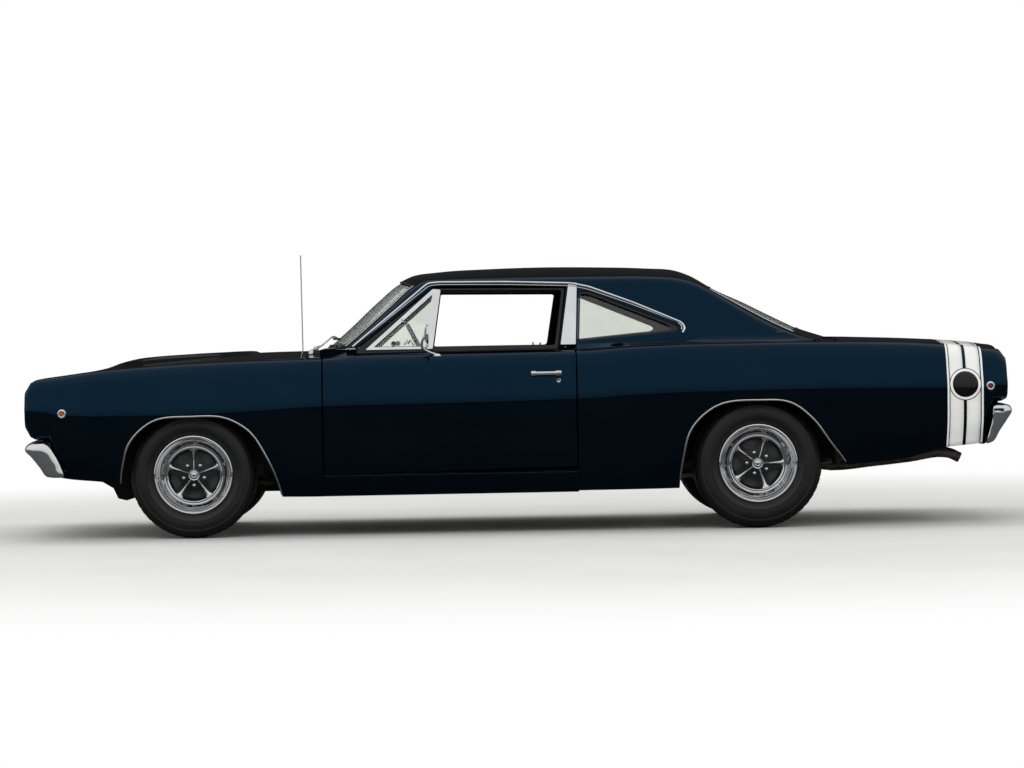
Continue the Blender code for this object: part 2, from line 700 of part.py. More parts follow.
def make_hood(shop):
    xs = [HOOD_FRONT_X] + [row["x"] for row in HOOD[1:-1]] + [HOOD_REAR_X]
    shares = (0.0, 0.33, 0.40, 0.455, 0.70, 1.0)
    hood = top_panel("hood", xs, opening_half_width, hood_z, PANEL, shares)
    shop.keep(hood, "hood", "black_paint")
    hang(hood, HOOD_HINGE)


def make_lid(shop):
    xs = [LID_FRONT_X] + [row["x"] for row in LID[1:-1]] + [LID_REAR_X]
    lid = top_panel("lid", xs, opening_half_width, lid_z, PANEL, (0.0, 0.4, 0.75, 1.0))
    shop.keep(lid, "trunk_lid", "black_paint")
    hang(lid, LID_HINGE)


def make_cowl(shop):
    """Cowl top between hood and windshield, the firewall under it and the hinge pillars at its ends."""

    def slab_z(x, y):
        centre = 0.972 + (x - HOOD_REAR_X) * 0.05
        return centre - (centre - 0.938) * min(1.0, y / 0.80) ** 2.2

    def bridge_z(x, y):
        return 0.9845 - 0.006 * min(1.0, y / 0.80)

    shares = (0.0, 0.35, 0.7, 1.0)
    front = HOOD_REAR_X + SHUT_GAP

    def slab_half_width(x):
        return station(x)["lip_y"] - 0.010

    cowl = top_panel("cowl", (front, -1.085, -1.038), slab_half_width, slab_z, 0.06, shares)
    bridge = top_panel("bridge", (-1.046, -0.80), lambda x: 0.792, bridge_z, 0.044, shares)
    firewall = box("firewall", (-1.075, -0.77, 0.3235), (-1.053, 0.77, 0.926))
    pillars = [side_box("pillar", side, (-1.125, -1.0365), (0.742, 0.838), (0.319, 0.903))
               for side, _ in SIDES]
    cowl = shop.join(cowl, bridge, firewall, *pillars)
    cowl = shop.cut(cowl, box("gearbox_hole", (-1.2, -0.19, 0.30), (-1.0, 0.19, 0.53)))
    shop.keep(cowl, "cowl", "black_paint")


def arc(centre, radius, first, last, steps):
    angles = [math.radians(first + (last - first) * n / steps) for n in range(steps + 1)]
    return [(centre[0] + radius * math.cos(a), centre[1] + radius * math.sin(a)) for a in angles]


def wheelhouse(centre, radius, first, last, thickness, y_span, side):
    """A half round tub over a wheel."""
    ring = arc(centre, radius, first, last, 10) + arc(centre, radius - thickness, last, first, 10)
    middle = side * (y_span[0] + y_span[1]) / 2
    return flat_outline("wheelhouse", [ring], y_span[1] - y_span[0], side_view(middle))


def make_underbody(shop):
    """Floor, tunnel, rockers, rails, trunk floor, rear wheelhouses and rear deck, welded into one."""
    line = ((-1.12, 0.300), (0.55, 0.300), (0.86, 0.440), (1.00, 0.490), (1.55, 0.490), (1.75, 0.425),
            (2.43, 0.425))
    section = [*line, *((x, z + SKIN) for x, z in reversed(line))]
    floor = flat_outline("floor", [section], 1.21, side_view(0.0))
    tunnel = [[(x, y, z) for y, z in ((-0.16, 0.305), (-0.10, top), (0.10, top), (0.16, 0.305))]
              for x, top in ((-1.115, 0.50), (-0.30, 0.465), (0.84, 0.49))]
    hollow = [[(x, y, z) for y, z in ((-0.135, 0.20), (-0.08, top), (0.08, top), (0.135, 0.20))]
              for x, top in ((-1.20, 0.482), (-0.30, 0.445), (0.86, 0.43))]
    floor = shop.cut(shop.join(floor, loft("tunnel", tunnel)), loft("hollow", hollow))
    hub = (REAR_AXLE_X, REAR_HUB_Z + 0.02)
    for side, _ in SIDES:
        rocker = side_box("rocker", side, (-1.123, 0.802), (0.601, 0.856), (0.242, 0.3165))
        sill = []
        for x in (DOOR_FRONT_X, DOOR_REAR_X):
            foot = side_points(x)[0][0]
            line = ((0.81, 0.227), (foot, 0.212), (foot + 0.032, 0.290), (foot + 0.040, 0.318), (0.81, 0.318))
            sill.append([(x, side * y, z) for y, z in line])
        front_rail = side_box("front_rail", side, (-1.20, 0.60), (0.44, 0.52), (0.250, 0.305))
        rail = [(0.55, 0.240), (0.85, 0.370), (1.15, 0.410), (1.60, 0.410), (2.30, 0.375), (2.30, 0.433),
                (1.72, 0.437), (1.56, 0.497), (0.99, 0.497), (0.85, 0.443), (0.52, 0.310)]
        rear_rail = flat_outline("rear_rail", [rail], 0.07, side_view(side * 0.48))
        tub = wheelhouse(hub, 0.435, -4, 184, 0.020, (0.602, 0.848), side)
        wall = flat_outline("wall", [arc(hub, 0.425, 16, 164, 8)], 0.018, side_view(side * 0.6065))
        floor = shop.join(floor, rocker, loft("sill", sill), front_rail, rear_rail, tub, wall)
    section = [(1.115, 0.500), (1.115, 0.945), (1.55, 0.945), (1.55, 0.925), (1.135, 0.925), (1.135, 0.500)]
    shelf = flat_outline("package_shelf", [section], 1.54, side_view(0.0))
    gaps = [side_box("wheelhouse_gap", side, (1.0, 1.2), (0.59, 0.90), (0.4, 0.80)) for side, _ in SIDES]
    shelf = shop.join(shop.cut(shelf, *gaps), box("deck", (1.545, -0.77, 0.925), (1.685, 0.77, 0.984)))
    shop.keep(shop.join(floor, shelf), "underbody", "underbody_black")


def make_engine_bay(shop):
    """Radiator with its support, front rails, aprons and wheelhouses."""
    frame = [(0.72, 0.36), (0.72, 0.80)]
    window = [(0.36, 0.42), (0.36, 0.76)]
    bay = flat_outline("support", [both_halves(frame), both_halves(window)], 0.03, front_view(-2.33))
    hub = (FRONT_AXLE_X, 0.345)
    for side, _ in SIDES:
        rail = side_box("rail", side, (-2.46, -1.078), (0.355, 0.425), (0.370, 0.450))
        tub = wheelhouse(hub, 0.447, 3, 177, 0.018, (0.420, 0.844), side)
        wall = [(-2.338, 0.41), (-2.338, 0.775), (-2.18, 0.81), (-1.079, 0.81), (-1.079, 0.41), (-1.42, 0.41),
                (-1.50, 0.52), (-1.94, 0.52), (-2.02, 0.41)]
        apron = flat_outline("apron", [wall], 0.016, side_view(side * 0.4265))
        bay = shop.join(bay, rail, apron, tub)
    bay = shop.join(bay, box("radiator", (-2.325, -0.345, 0.40), (-2.245, 0.345, 0.782)))
    shop.keep(bay, "engine_bay", "underbody_black")


def bumper_line(row, inwards, bow):
    """Half of one line along a bumper, from the centre round its corner to the end, as (x, y)."""
    across = (0.0, 0.30, 0.60, 0.80)
    corner = min(0.055, 0.8 * abs(row["end_x"] - row["corner_x"]))
    line = [(row["corner_x"] - inwards * bow * (1 - (y / 0.86) ** 2), y) for y in across]
    for angle in (math.radians(degrees) for degrees in (10, 45, 80)):
        line.append((
            row["corner_x"] + inwards * corner * (1 - math.cos(angle)),
            row["side_y"] - corner * (1 - math.sin(angle)),
        ))
    return line + [(row["end_x"], row["side_y"])]


def make_bumpers(shop):
    """Pressed bars that bow out and wrap round the corners, each on two brackets."""
    front_foot = ((-2.4605, 0.400), (-2.4605, 0.425), (-2.577, 0.425), (-2.558, 0.400))
    rear_foot = ((2.4555, 0.500), (2.4555, 0.525), (2.573, 0.525), (2.556, 0.500))
    for name, rows, inwards, foot in (
        ("front_bumper", FRONT_BUMPER, 1, front_foot),
        ("rear_bumper", REAR_BUMPER, -1, rear_foot),
    ):
        bow = HALF_LENGTH - max(abs(row["corner_x"]) for row in rows)
        lines = [[(x, y, row["z"]) for x, y in bumper_line(row, inwards, bow)] for row in rows]
        bumper = thicken(mirror(sheet(name, lines, (-inwards, 0, 0))), BUMPER_SKIN)
        brackets = [flat_outline("bracket", [foot], 0.04, side_view(y)) for y in (-0.39, 0.39)]
        shop.keep(shop.join(bumper, *brackets), name, "chrome")


def make_front_end(shop):
    """Grille with its bars and stays, and two lamps at each side."""
    lamp_z = 0.683
    rim = [(0.80, 0.545), (0.843, 0.60), (0.843, 0.74), (0.775, 0.818)]
    mouth = [(0.78, 0.570), (0.81, 0.61), (0.81, 0.73), (0.75, 0.793)]
    grille = flat_outline("surround", [both_halves(rim), both_halves(mouth)], 0.05, front_view(-2.535))
    plate = [(0.79, 0.56), (0.82, 0.61), (0.82, 0.73), (0.76, 0.803)]
    back = flat_outline("back", [both_halves(plate)], 0.010, front_view(-2.511))
    bars = [box("bar", (-2.535, -0.79, z), (-2.509, 0.79, z + 0.008)) for z in (0.604, 0.647, 0.690, 0.733)]
    divider = box("divider", (-2.548, -0.018, 0.56), (-2.509, 0.018, 0.80))
    stays = [box("stay", (-2.511, y - 0.04, 0.62), (-2.3455, y + 0.04, 0.643)) for y in (-0.60, 0.60)]
    grille = shop.join(grille, back, *bars, divider, *stays)
    places = [(side * y, lamp_z) for side in (LEFT, RIGHT) for y in (0.685, 0.500)]
    grille = shop.cut(grille, *(disc("lamp_hole", (-2.53, y, z), 0.0835, 0.03, 24, "X") for y, z in places))
    shop.keep(grille, "grille", "grille_black")
    for side, word in SIDES:
        outer = disc("lamp", (-2.532, side * 0.685, lamp_z), 0.082, 0.028, 24, "X")
        inner = disc("lamp", (-2.532, side * 0.500, lamp_z), 0.082, 0.028, 24, "X")
        link = side_box("link", side, (-2.5335, -2.5195), (0.54, 0.64), (lamp_z - 0.007, lamp_z + 0.007))
        shop.keep(shop.join(outer, link, inner), f"headlamps_{word}", "lamp_clear")


def make_tail(shop):
    """Tail panel between the quarters, with a long lamp at each side."""
    half = [(0.84, 0.600), (0.852, 0.650), (0.888, 0.720), (0.838, 0.860), (0.79, 0.885), (0.60, 0.893)]
    panel = flat_outline("panel", [both_halves(half)], 0.03, front_view(2.505))
    lower = box("lower", (2.432, -0.80, 0.42), (2.455, 0.80, 0.632))
    lip = box("lip", (2.450, -0.70, 0.612), (2.505, 0.70, 0.628))
    shop.keep(shop.join(panel, lower, lip), "tail_panel", "black_paint")
    strip = box("strip", (2.5205, -0.40, 0.744), (2.526, 0.40, 0.768))
    lamps = [side_box("lamp", side, (2.5205, 2.536), (0.30, 0.80), (0.700, 0.812)) for side, _ in SIDES]
    shop.keep(shop.join(strip, *lamps), "tail_lamps", "lamp_red")


def make_steering_wheel(shop):
    """Rim, three-arm hub and column, tilted towards the driver."""
    tilt = math.radians(27)
    centre = Vector((-0.497, -0.37, 0.926))
    axis = Vector((-math.cos(tilt), 0, -math.sin(tilt)))
    across = Vector((0, 0.19, 0))
    bpy.ops.mesh.primitive_torus_add(
        major_radius=0.195, minor_radius=0.011, major_segments=20, minor_segments=6
    )
    rim = bpy.context.object
    rim.matrix_world = Matrix.Translation(centre) @ axis.to_track_quat("Z", "Y").to_matrix().to_4x4()
    wheel = as_mesh(rim)
    bar = [centre - across + axis * 0.01, centre + axis * 0.03, centre + across + axis * 0.01]
    spoke = tube("spoke", bar, 0.011, 1)
    reach = (-0.7125 - centre.x) / axis.x
    column = tube("column", [centre + axis * 0.01, centre + axis * reach], 0.026)
    hub = tube("hub", [centre - axis * 0.004, centre + axis * 0.05], 0.04)
    shop.keep(shop.join(wheel, spoke, hub, column), "steering_wheel", "vinyl")


def make_interior(shop):
    """Dashboard, steering wheel and the two bench seats."""
    line = [(-1.033, 0.70), (-1.033, 0.925), (-0.86, 0.925), (-0.74, 0.90), (-0.72, 0.80), (-0.78, 0.70),
            (-0.90, 0.66)]
    shop.keep(flat_outline("dash", [line], 1.47, side_view(0.0)), "dashboard", "vinyl")
    make_steering_wheel(shop)
    line = [(-0.38, 0.345), (-0.40, 0.46), (-0.36, 0.53), (0.02, 0.50), (0.16, 0.905), (0.235, 0.925),
            (0.285, 0.88), (0.165, 0.40), (0.13, 0.345)]
    seat = bevel(flat_outline("seat", [line], 1.34, side_view(0.0)), 0.012, 1)
    legs = [box("leg", (-0.30, y - 0.03, 0.3225), (0.05, y + 0.03, 0.37)) for y in (-0.54, -0.22, 0.22, 0.54)]
    seat = shop.cut(shop.join(seat, *legs), box("tunnel_room", (-0.6, -0.17, 0.30), (0.5, 0.17, 0.487)))
    shop.keep(seat, "front_seat", "vinyl")
    line = [(0.52, 0.3235), (0.50, 0.50), (0.55, 0.55), (0.84, 0.54), (0.97, 0.90), (1.05, 0.915),
            (1.10, 0.87), (0.98, 0.514), (0.86, 0.478), (0.56, 0.345)]
    seat = bevel(flat_outline("seat", [line], 1.16, side_view(0.0)), 0.012, 1)
    seat = shop.cut(seat, box("tunnel_room", (0.4, -0.17, 0.30), (0.93, 0.17, 0.512)))
    shop.keep(seat, "rear_seat", "vinyl")


def make_engine(shop):
    """Engine and gearbox as one plain block at their real size."""
    block = box("block", (-2.05, -0.29, 0.27), (-1.38, 0.29, 0.80))
    sections = ((-1.385, 0.200, 0.30, 0.60), (-1.10, 0.085, 0.27, 0.40), (-0.60, 0.065, 0.27, 0.40))
    gearbox = loft("gearbox", [[(x, -y, low), (x, y, low), (x, y, high), (x, -y, high)]
                               for x, y, low, high in sections])
    shop.keep(shop.join(block, gearbox), "engine", "cast_iron")


def control_arm(side, inner_y, outer_y, inner_z, outer_z, inner_reach, outer_reach, height):
    """A tapered arm from the frame out to the kingpin."""
    rings = []
    for y, z, reach in ((inner_y, inner_z, inner_reach), (outer_y, outer_z, outer_reach)):
        rings.append([(FRONT_AXLE_X + dx, side * y, z + dz) for dx, dz in
                      ((-reach, 0.0), (reach, 0.0), (reach, height), (-reach, height))])
    return loft("arm", rings)


def make_front_suspension(shop):
    """Cross member with its horns, control arms, struts, bars and shock absorbers, and the knuckles."""
    suspension = box("member", (-1.86, -0.40, 0.215), (-1.60, 0.40, 0.262))
    front_line = [(-2.30, 0.3695), (-2.28, 0.315), (-2.18, 0.255), (-2.155, 0.200), (-2.11, 0.188),
                  (-2.07, 0.200), (-2.055, 0.3695)]
    for side, _ in SIDES:
        horn = side_box("horn", side, (-1.86, -1.60), (0.335, 0.42), (0.24, 0.3695))
        lower = control_arm(side, 0.36, 0.625, 0.215, 0.205, 0.080, 0.025, 0.026)
        upper = control_arm(side, 0.4355, 0.622, 0.405, 0.396, 0.070, 0.020, 0.020)
        shock = tube("shock", [(-1.72, side * 0.52, 0.220), (-1.72, side * 0.50, 0.410)], 0.020)
        strut = tube("strut", [(-1.76, side * 0.53, 0.222), (-2.11, side * 0.40, 0.232)], 0.012, 1)
        front_horn = flat_outline("front_horn", [front_line], 0.06, side_view(side * 0.39))
        bar = tube("torsion_bar", [(-1.65, side * 0.385, 0.235), (-0.75, side * 0.385, 0.235)], 0.014, 1)
        mount = side_box("mount", side, (-0.80, -0.74), (0.355, 0.415), (0.22, 0.2995))
        suspension = shop.join(suspension, horn, lower, upper, shock, strut, front_horn, bar, mount)
    sway_bar = tube("sway_bar", [(-2.20, -0.39, 0.302), (-2.20, 0.39, 0.302)], 0.013, 1)
    suspension = shop.join(suspension, sway_bar)
    shop.keep(suspension, "front_suspension", "underbody_black")

    knuckles = {}
    for side, word in SIDES:
        kingpin = Vector((FRONT_AXLE_X, side * KINGPIN_Y, FRONT_HUB_Z))
        post = tube("post", [(kingpin.x, kingpin.y, 0.2335), (kingpin.x, kingpin.y, 0.43)], 0.022)
        spindle = tube("spindle", [kingpin, (kingpin.x, side * 0.7495, kingpin.z)], 0.020)
        arm = tube("arm", [(kingpin.x, kingpin.y, 0.262), (kingpin.x + 0.13, side * 0.615, 0.262)], 0.012, 1)
        drum = disc("drum", (kingpin.x, side * 0.711, kingpin.z), 0.128, 0.072, 20, "Y")
        knuckle = shop.join(drum, post, spindle, arm)
        knuckles[side] = shop.keep(knuckle, f"knuckle_{word}", "cast_iron")
        hang(knuckle, kingpin)
    return knuckles


def make_rear_axle(shop):
    """Live axle with its drums and leaf springs, and the driveshaft."""
    axle = tube("axle", [(REAR_AXLE_X, -0.7495, REAR_HUB_Z), (REAR_AXLE_X, 0.7495, REAR_HUB_Z)], 0.038)
    bm = bmesh.new()
    bmesh.ops.create_uvsphere(bm, u_segments=12, v_segments=8, radius=0.145)
    bmesh.ops.scale(bm, vec=(1.0, 0.85, 0.95), verts=bm.verts)
    bmesh.ops.translate(bm, vec=(REAR_AXLE_X, 0, REAR_HUB_Z), verts=bm.verts)
    banjo = object_from_bmesh(bm, "banjo")
    nose = tube("nose", [(REAR_AXLE_X - 0.10, 0, 0.344), (REAR_AXLE_X - 0.182, 0, 0.345)], 0.045)
    shaft = tube("driveshaft", [(-0.5985, 0, 0.343), (REAR_AXLE_X - 0.16, 0, 0.345)], 0.038)
    axle = shop.join(axle, banjo, nose, shaft)
    leaf = [(0.700, 0.268), (0.98, 0.262), (REAR_AXLE_X, 0.285), (1.60, 0.315), (1.90, 0.372), (1.90, 0.384),
            (1.60, 0.330), (REAR_AXLE_X, 0.312), (0.98, 0.285), (0.700, 0.281)]
    for side, _ in SIDES:
        drum = disc("drum", (REAR_AXLE_X, side * 0.711, REAR_HUB_Z), 0.128, 0.072, 20, "Y")
        spring = flat_outline("spring", [leaf], 0.056, side_view(side * 0.562))
        hanger = side_box("hanger", side, (0.665, 0.705), (0.535, 0.588), (0.262, 0.345))
        shackle = side_box("shackle", side, (1.885, 1.905), (0.545, 0.585), (0.368, 0.4185))
        axle = shop.join(axle, drum, spring, hanger, shackle)
    shop.keep(axle, "rear_axle", "cast_iron")


def make_exhaust(shop):
    """Twin pipes with mufflers, joined by a cross pipe, with turned-down ends behind the wheels."""
    route = ((-1.50, 0.3225, 0.455), (-1.495, 0.3225, 0.350), (-1.455, 0.3225, 0.288),
             (-1.36, 0.3225, 0.262), (-1.10, 0.245, 0.262), (-0.10, 0.235, 0.262), (0.60, 0.24, 0.262),
             (0.86, 0.33, 0.300), (1.08, 0.36, 0.425), (1.38, 0.36, 0.425), (1.62, 0.45, 0.315),
             (1.92, 0.48, 0.330), (2.08, 0.60, 0.352), (2.28, 0.62, 0.374), (2.35, 0.62, 0.352))
    exhaust = tube("link", [(-0.45, -0.24, 0.262), (-0.45, 0.24, 0.262)], 0.022)
    for side, _ in SIDES:
        pipe = tube("pipe", [(x, side * y, z) for x, y, z in route], 0.028)
        muffler = tube("muffler", [(-0.05, 0.0, 0.0), (0.48, 0.0, 0.0)], 0.075, 3)
        flatten = Matrix.Diagonal((1, 1.25, 0.62, 1))
        muffler.data.transform(Matrix.Translation((0, side * 0.235, 0.236)) @ flatten)
        exhaust = shop.join(exhaust, pipe, muffler)
    shop.keep(exhaust, "exhaust", "steel_pipe")


# Tyre and rim sections: distance from the axle, as it is or less than the tyre's radius, and distance
# outwards from the wheel's middle plane.
RIM_SECTION = (
    (0.0, 0.053), (0.024, 0.052), (0.030, 0.048), (0.033, 0.038), (0.072, 0.035), (0.128, 0.048),
    (0.140, 0.052), (0.153, 0.050), (0.186, 0.094), (0.200, 0.0985), (0.208, 0.0935), (0.1975, 0.0865),
    (0.1975, -0.0865), (0.208, -0.0935), (0.190, -0.096), (0.176, -0.040), (0.140, -0.006), (0.0, -0.004),
)
WINDOW_DEPTH = 0.012


def tyre_section(radius):
    half = ((radius, 0.070), (radius - 0.010, 0.092), (radius - 0.040, TYRE_HALF_WIDTH),
            (0.265, TYRE_HALF_WIDTH + 0.004), (0.230, 0.104), (0.2095, 0.0925), (0.1985, 0.0855))
    return [*half, *((r, -out) for r, out in reversed(half))]


def rim_window(centre, side, angle):
    """A cutter for one of the pockets between the spokes, rounded at its corners."""
    inner, outer = 0.074, 0.137
    corners = ((inner, -17), (inner, 17), (inner + 0.008, 23), (outer - 0.012, 29), (outer, 24), (outer, 8),
               (outer, -8), (outer, -24), (outer - 0.012, -29), (inner + 0.008, -23))
    outline = [(r * math.cos(math.radians(a)), r * math.sin(math.radians(a))) for r, a in corners]
    middle = Matrix.Translation((centre[0], centre[1] + side * (WINDOW_DEPTH + 0.05), centre[2]))
    return flat_outline("window", [outline], 0.10, middle @ Matrix.Rotation(angle, 4, "Y") @ side_view(0.0))


def make_wheels(shop, knuckles):
    """Four tyres on five-spoke rims: turned sections, with a pocket cut between each two spokes."""
    for side, word in SIDES:
        for end, x, z, first_spoke in (
            ("front", FRONT_AXLE_X, FRONT_HUB_Z, 90.0),
            ("rear", REAR_AXLE_X, REAR_HUB_Z, 72.0),
        ):
            centre = Vector((x, side * HALF_TRACK, z))
            parent = knuckles[side] if end == "front" else None
            tyre = turned("tyre", tyre_section(z), True, centre, side, WHEEL_STEPS)
            shop.keep(tyre, f"tyre_{end}_{word}", "tyre_rubber")
            rim = turned("rim", RIM_SECTION, False, centre, side, WHEEL_STEPS)
            for n in range(5):
                angle = -math.radians(first_spoke + 36 + 72 * n)
                rim = shop.cut(rim, rim_window(centre, side, angle))
            shop.keep(rim, f"rim_{end}_{word}", "chrome")
            hang(rim, centre, parent)
            hang(tyre, centre, rim)


def make_small_fittings(shop):
    """Fuel tank under the trunk, and the aerial on the right fender."""
    shop.keep(box("tank", (1.76, -0.42, 0.345), (2.32, 0.42, 0.4185)), "fuel_tank", "steel_pipe")
    foot = Vector((-1.200, 0.818, 0.9335))
    mast = tube("mast", [foot, foot + Vector((0, 0, 0.03)), foot + Vector((-0.004, 0, 0.583))], 0.0035, 1)
    base = disc("base", tuple(foot + Vector((0, 0, 0.008))), 0.012, 0.018, 10, "Z")
    shop.keep(shop.join(mast, base), "antenna", "chrome")


def main():
    shop = Shop()
    make_roof(shop)
    make_fenders(shop)
    make_quarters(shop)
    doors = make_doors(shop)
    make_glass(shop, doors)
    make_hood(shop)
    make_lid(shop)
    make_cowl(shop)
    make_underbody(shop)
    make_engine_bay(shop)
    make_bumpers(shop)
    make_front_end(shop)
    make_tail(shop)
    make_interior(shop)
    make_engine(shop)
    knuckles = make_front_suspension(shop)
    make_rear_axle(shop)
    make_exhaust(shop)
    make_wheels(shop, knuckles)
    make_small_fittings(shop)


main()
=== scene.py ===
"""Looks of a two-door muscle car of the late 1960s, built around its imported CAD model.

Metres, +Z up, nose to -X. The car's left side, the driver's, is -Y and faces the camera.
"""

import functools
import json
import logging
import math
from dataclasses import dataclass
from enum import Enum
from typing import Callable, Iterable, Optional, Sequence, Union

import bpy
from mathutils import Matrix, Vector

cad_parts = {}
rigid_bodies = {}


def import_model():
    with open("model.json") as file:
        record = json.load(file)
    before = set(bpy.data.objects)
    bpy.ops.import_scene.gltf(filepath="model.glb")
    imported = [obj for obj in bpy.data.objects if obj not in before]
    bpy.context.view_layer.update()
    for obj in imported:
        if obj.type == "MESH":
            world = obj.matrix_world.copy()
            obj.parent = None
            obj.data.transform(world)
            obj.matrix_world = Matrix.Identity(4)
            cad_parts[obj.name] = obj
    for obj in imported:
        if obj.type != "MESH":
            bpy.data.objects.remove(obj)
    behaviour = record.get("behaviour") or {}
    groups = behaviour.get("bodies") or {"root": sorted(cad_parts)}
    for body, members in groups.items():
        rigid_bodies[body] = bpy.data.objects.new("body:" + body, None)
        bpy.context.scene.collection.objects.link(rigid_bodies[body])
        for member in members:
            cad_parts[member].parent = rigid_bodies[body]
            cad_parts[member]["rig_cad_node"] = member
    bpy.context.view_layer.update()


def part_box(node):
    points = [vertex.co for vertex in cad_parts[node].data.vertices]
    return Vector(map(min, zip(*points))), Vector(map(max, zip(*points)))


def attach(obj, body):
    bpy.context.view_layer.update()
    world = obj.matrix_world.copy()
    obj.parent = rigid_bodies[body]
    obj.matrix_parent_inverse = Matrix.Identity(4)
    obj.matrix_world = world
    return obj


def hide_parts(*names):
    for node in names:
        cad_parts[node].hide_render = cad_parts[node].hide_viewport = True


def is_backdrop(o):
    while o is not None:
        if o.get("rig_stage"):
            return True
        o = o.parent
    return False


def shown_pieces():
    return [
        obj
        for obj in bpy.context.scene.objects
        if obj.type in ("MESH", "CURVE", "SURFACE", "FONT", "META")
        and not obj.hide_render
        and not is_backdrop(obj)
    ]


LOG = logging.getLogger("muscle_car")
Object = bpy.types.Object
Point = Sequence[float]
Outline = Sequence[Sequence[float]]
Value = Union[float, Vector]

FRONT_AXLE_X = -1.72
REAR_AXLE_X = 1.252
HALF_TRACK = 0.755
FRONT_HUB_Z = 0.334
REAR_HUB_Z = 0.341
SHUT_GAP = 0.006
DOOR_FRONT_X, DOOR_REAR_X = -1.03, 0.297
SMOOTH_ANGLE, BAR_SMOOTH_ANGLE, PLATE_EDGE_ANGLE = math.radians(32), math.radians(50), math.radians(40)
CORNER_STEPS = 4
SIDES = ((-1, "left"), (1, "right"))
FORWARD, REARWARD, UPWARD = (-1, 0, 0), (1, 0, 0), (0, 0, 1)


# The body's tables, as in the CAD.

SIDE_COLUMNS = ("x", "low_z", "low_y", "crease_z", "crease_y", "crest_z", "crest_y", "lip_z", "lip_y")
SIDE = (
    (-2.592, 0.600, 0.890, 0.680, 0.918, 0.780, 0.880, 0.786, 0.850),
    (-2.575, 0.560, 0.896, 0.680, 0.932, 0.815, 0.880, 0.820, 0.830),
    (-2.535, 0.536, 0.900, 0.678, 0.943, 0.840, 0.872, 0.846, 0.800),
    (-2.470, 0.528, 0.896, 0.672, 0.949, 0.850, 0.866, 0.858, 0.780),
    (-2.420, 0.335, 0.872, 0.668, 0.952, 0.856, 0.864, 0.864, 0.775),
    (-2.180, 0.305, 0.874, 0.658, 0.960, 0.884, 0.862, 0.892, 0.768),
    (-1.784, 0.240, 0.880, 0.660, 0.966, 0.909, 0.862, 0.917, 0.764),
    (-1.400, 0.216, 0.884, 0.675, 0.967, 0.921, 0.865, 0.929, 0.762),
    (-1.036, 0.210, 0.886, 0.694, 0.964, 0.926, 0.872, 0.938, 0.822),
    (-0.860, 0.210, 0.885, 0.696, 0.962, 0.927, 0.878, 0.968, 0.820),
    (-0.400, 0.210, 0.884, 0.699, 0.959, 0.930, 0.885, 0.970, 0.820),
    (0.303, 0.217, 0.884, 0.709, 0.961, 0.936, 0.893, 0.972, 0.822),
    (0.640, 0.218, 0.885, 0.728, 0.968, 0.958, 0.893, 0.984, 0.836),
    (0.950, 0.222, 0.884, 0.737, 0.972, 0.968, 0.892, 0.984, 0.836),
    (1.400, 0.260, 0.880, 0.740, 0.972, 0.968, 0.889, 0.984, 0.832),
    (1.700, 0.322, 0.872, 0.737, 0.966, 0.964, 0.880, 0.980, 0.780),
    (2.010, 0.352, 0.864, 0.732, 0.957, 0.956, 0.868, 0.970, 0.735),
    (2.240, 0.408, 0.858, 0.727, 0.946, 0.940, 0.856, 0.956, 0.722),
    (2.444, 0.432, 0.850, 0.723, 0.933, 0.917, 0.847, 0.935, 0.716),
    (2.486, 0.641, 0.880, 0.722, 0.929, 0.913, 0.845, 0.930, 0.715),
    (2.530, 0.646, 0.880, 0.721, 0.925, 0.908, 0.842, 0.924, 0.714),
    (2.566, 0.660, 0.860, 0.720, 0.915, 0.870, 0.846, 0.880, 0.760),
)
# Knots of a side's section between those of the table: shares of the way out or in, and of the way up or
# down. The one under the crease has a distance and a share.
BELLY, UNDER_CREASE, OVER_CREASE, UNDER_CREST = (0.72, 0.38), (0.004, 0.14), (0.3, 0.45), (0.36, 0.18)
# Roof hoops: x and z on the centre line, x and z at the edge.
ROOF = (
    (-1.035, 0.985, -0.905, 0.9855), (-0.901, 1.103, -0.785, 1.085), (-0.759, 1.234, -0.655, 1.2),
    (-0.625, 1.34, -0.54, 1.302), (-0.56, 1.37, -0.49, 1.33), (-0.42, 1.389, -0.39, 1.336),
    (-0.15, 1.402, -0.15, 1.338), (0.15, 1.407, 0.15, 1.338), (0.45, 1.402, 0.45, 1.337),
    (0.715, 1.391, 0.72, 1.333), (0.87, 1.377, 0.86, 1.32), (0.95, 1.347, 0.935, 1.299),
    (1.055, 1.284, 1.02, 1.258), (1.241, 1.198, 1.165, 1.168), (1.419, 1.108, 1.31, 1.085),
    (1.535, 1.052, 1.43, 1.028), (1.68, 1.003, 1.56, 0.9865),
)
# The side windows' plane, at the waist and at the roof rail.
WAIST_Z, WAIST_Y = 0.985, 0.835
RAIL_Z, RAIL_Y = 1.32, 0.7
# Glass openings: first and last place in rows of the roof's table, and share of its half width.
WINDSHIELD = (0.14, 3.0, 0.925)
BACKLIGHT = (12.0, 15.0, 0.86)
# Hood: x, height of its centre line, rise of the bulge. Lid: x and height.
HOOD = (
    (-2.53, 0.85, 0.0), (-2.32, 0.88, 0.0), (-2.23, 0.892, 0.004), (-2.12, 0.906, 0.026),
    (-2.02, 0.918, 0.034), (-1.8, 0.938, 0.028), (-1.6, 0.954, 0.02), (-1.435, 0.966, 0.012),
    (-1.405, 0.968, 0.0), (-1.27, 0.971, 0.0), (-1.14, 0.972, 0.0),
)
LID = ((1.7, 1.001), (1.9, 0.995), (2.137, 0.984), (2.317, 0.971), (2.45, 0.957), (2.535, 0.945))
